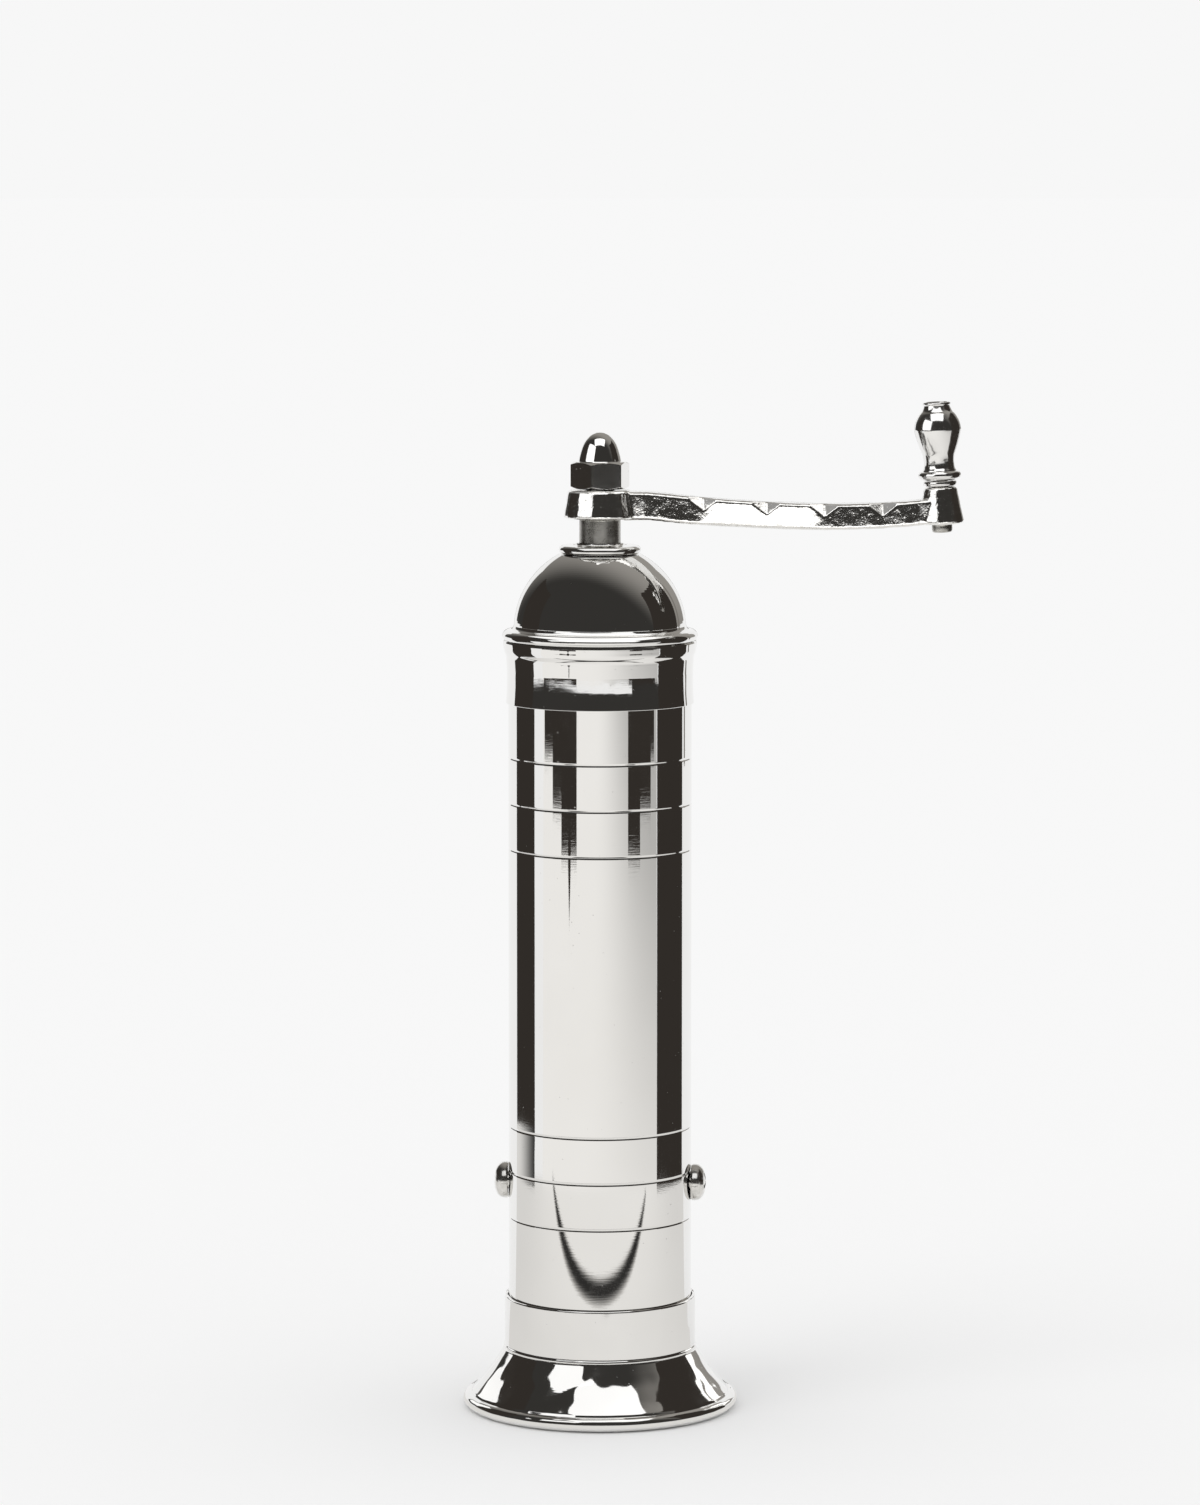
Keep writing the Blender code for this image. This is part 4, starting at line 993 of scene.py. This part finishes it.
def add_floor():
    shape = bmesh.new()
    bmesh.ops.create_grid(shape, x_segments=1, y_segments=1, size=30.0)
    floor = add_object("floor", mesh_of("floor", shape))
    floor.location.z = -0.2 * MM
    material = bpy.data.materials.new("floor_paper")
    material.use_nodes = True
    shader = material.node_tree.nodes["Principled BSDF"]
    shader.inputs["Base Color"].default_value = (*PAPER, 1.0)
    shader.inputs["Roughness"].default_value = 1.0
    shader.inputs["Specular IOR Level"].default_value = 0.0
    floor.data.materials.append(material)


def add_daylight():
    """An even pale surround and a weak, very soft sun."""
    world = bpy.data.worlds.new("studio")
    bpy.context.scene.world = world
    world.use_nodes = True
    background = world.node_tree.nodes["Background"]
    background.inputs["Color"].default_value = (*PAPER, 1.0)
    background.inputs["Strength"].default_value = 1.0
    sun = bpy.data.lights.new("key", "SUN")
    sun.energy = 0.35
    sun.angle = math.radians(35.0)
    key = add_object("key", sun)
    key.rotation_euler = (math.radians(28.0), math.radians(-38.0), 0.0)
    key.visible_glossy = False


def add_camera():
    """Product view from the front, a little above the mill and looking slightly down."""
    data = bpy.data.cameras.new("camera")
    data.lens = 135.04
    data.sensor_width = 36.0
    data.sensor_fit = "AUTO"
    data.shift_y = -0.1
    data.clip_start = 0.05
    camera = add_object("camera", data)
    camera.location = (0.0, -1.224, 0.275)
    camera.rotation_euler = (math.radians(90.0 - 4.59), 0.0, 0.0)
    bpy.context.scene.camera = camera


def main():
    add_camera()
    tube_shell()
    foot = foot_shell()
    screws = [side_screw(side) for side in ("right", "left")]
    adjuster_knob()
    lid_band()
    cap = lid_cap()
    rim = lid_rim()
    bearing = lid_bearing()
    drive_spindle()
    casting = crank_casting()
    nut = acorn_nut()
    place = pin_place()
    knob = turned_knob(place)
    washer = washer_ring(place)
    rivet = pin_rivet(place)
    dress_cad_nodes()
    studio_cards()
    for name, direction, distance, size, radiance, pieces in (
        ("strip_light", (-0.74, -0.52, 0.43), 0.9, (0.8, 0.75), 1.25, [casting, washer, rivet]),
        ("top_light", (-0.05, -0.42, 0.9), 0.9, (0.9, 0.7), 1.25, [casting, washer, rivet]),
        ("small_strip_light", (-0.8, -0.47, 0.37), 0.9, (0.8, 0.66), 1.35, [nut, knob]),
        ("small_top_light", (-0.02, -0.42, 0.9), 0.9, (0.95, 0.62), 1.4, [nut, knob]),
        ("arm_light", (0.0, -0.96, -0.27), 0.5, (0.6, 0.12), 1.15, [casting]),
        ("notch_light", (0.65, 0.22, 0.73), 0.5, (0.4, 0.4), 1.0, [casting]),
        ("notch_shade", (-0.65, 0.22, 0.73), 0.5, (0.4, 0.4), 0.3, [casting]),
        ("rim_light", (0.0, -0.12, 0.99), 0.9, (1.7, 1.8), 1.05, [rim]),
        ("rim_front_light", (-0.12, -0.8, 0.58), 0.9, (2.2, 0.52), 1.05, [rim]),
        ("bearing_light", (0.0, -0.35, 0.94), 0.9, (1.6, 0.9), 1.0, [bearing]),
        ("dome_light", (0.64, 0.49, 0.58), 0.9, (0.16, 0.34), 0.6, [cap]),
        ("foot_light", (0.05, -0.28, 0.96), 1.0, (0.86, 0.66), 1.1, [foot]),
        ("foot_side_light", (-0.5, -0.5, 0.71), 1.0, (0.56, 0.32), 1.1, [foot]),
        ("foot_left_light", (-0.657, 0.635, 0.407), 1.0, (0.45, 0.42), 1.05, [foot]),
        ("foot_right_light", (0.657, 0.635, 0.407), 1.0, (0.45, 0.42), 1.05, [foot]),
    ):
        softbox(name, direction, distance, size, radiance, pieces)
    for screw in screws:
        softbox(screw.name + "_light", (0.0, -0.62, 0.78), 0.6, (0.6, 0.36), 0.95, [screw])
    add_floor()
    add_daylight()
    bpy.context.scene.view_settings.view_transform = "Standard"
    bpy.context.scene.view_settings.look = "None"


main()
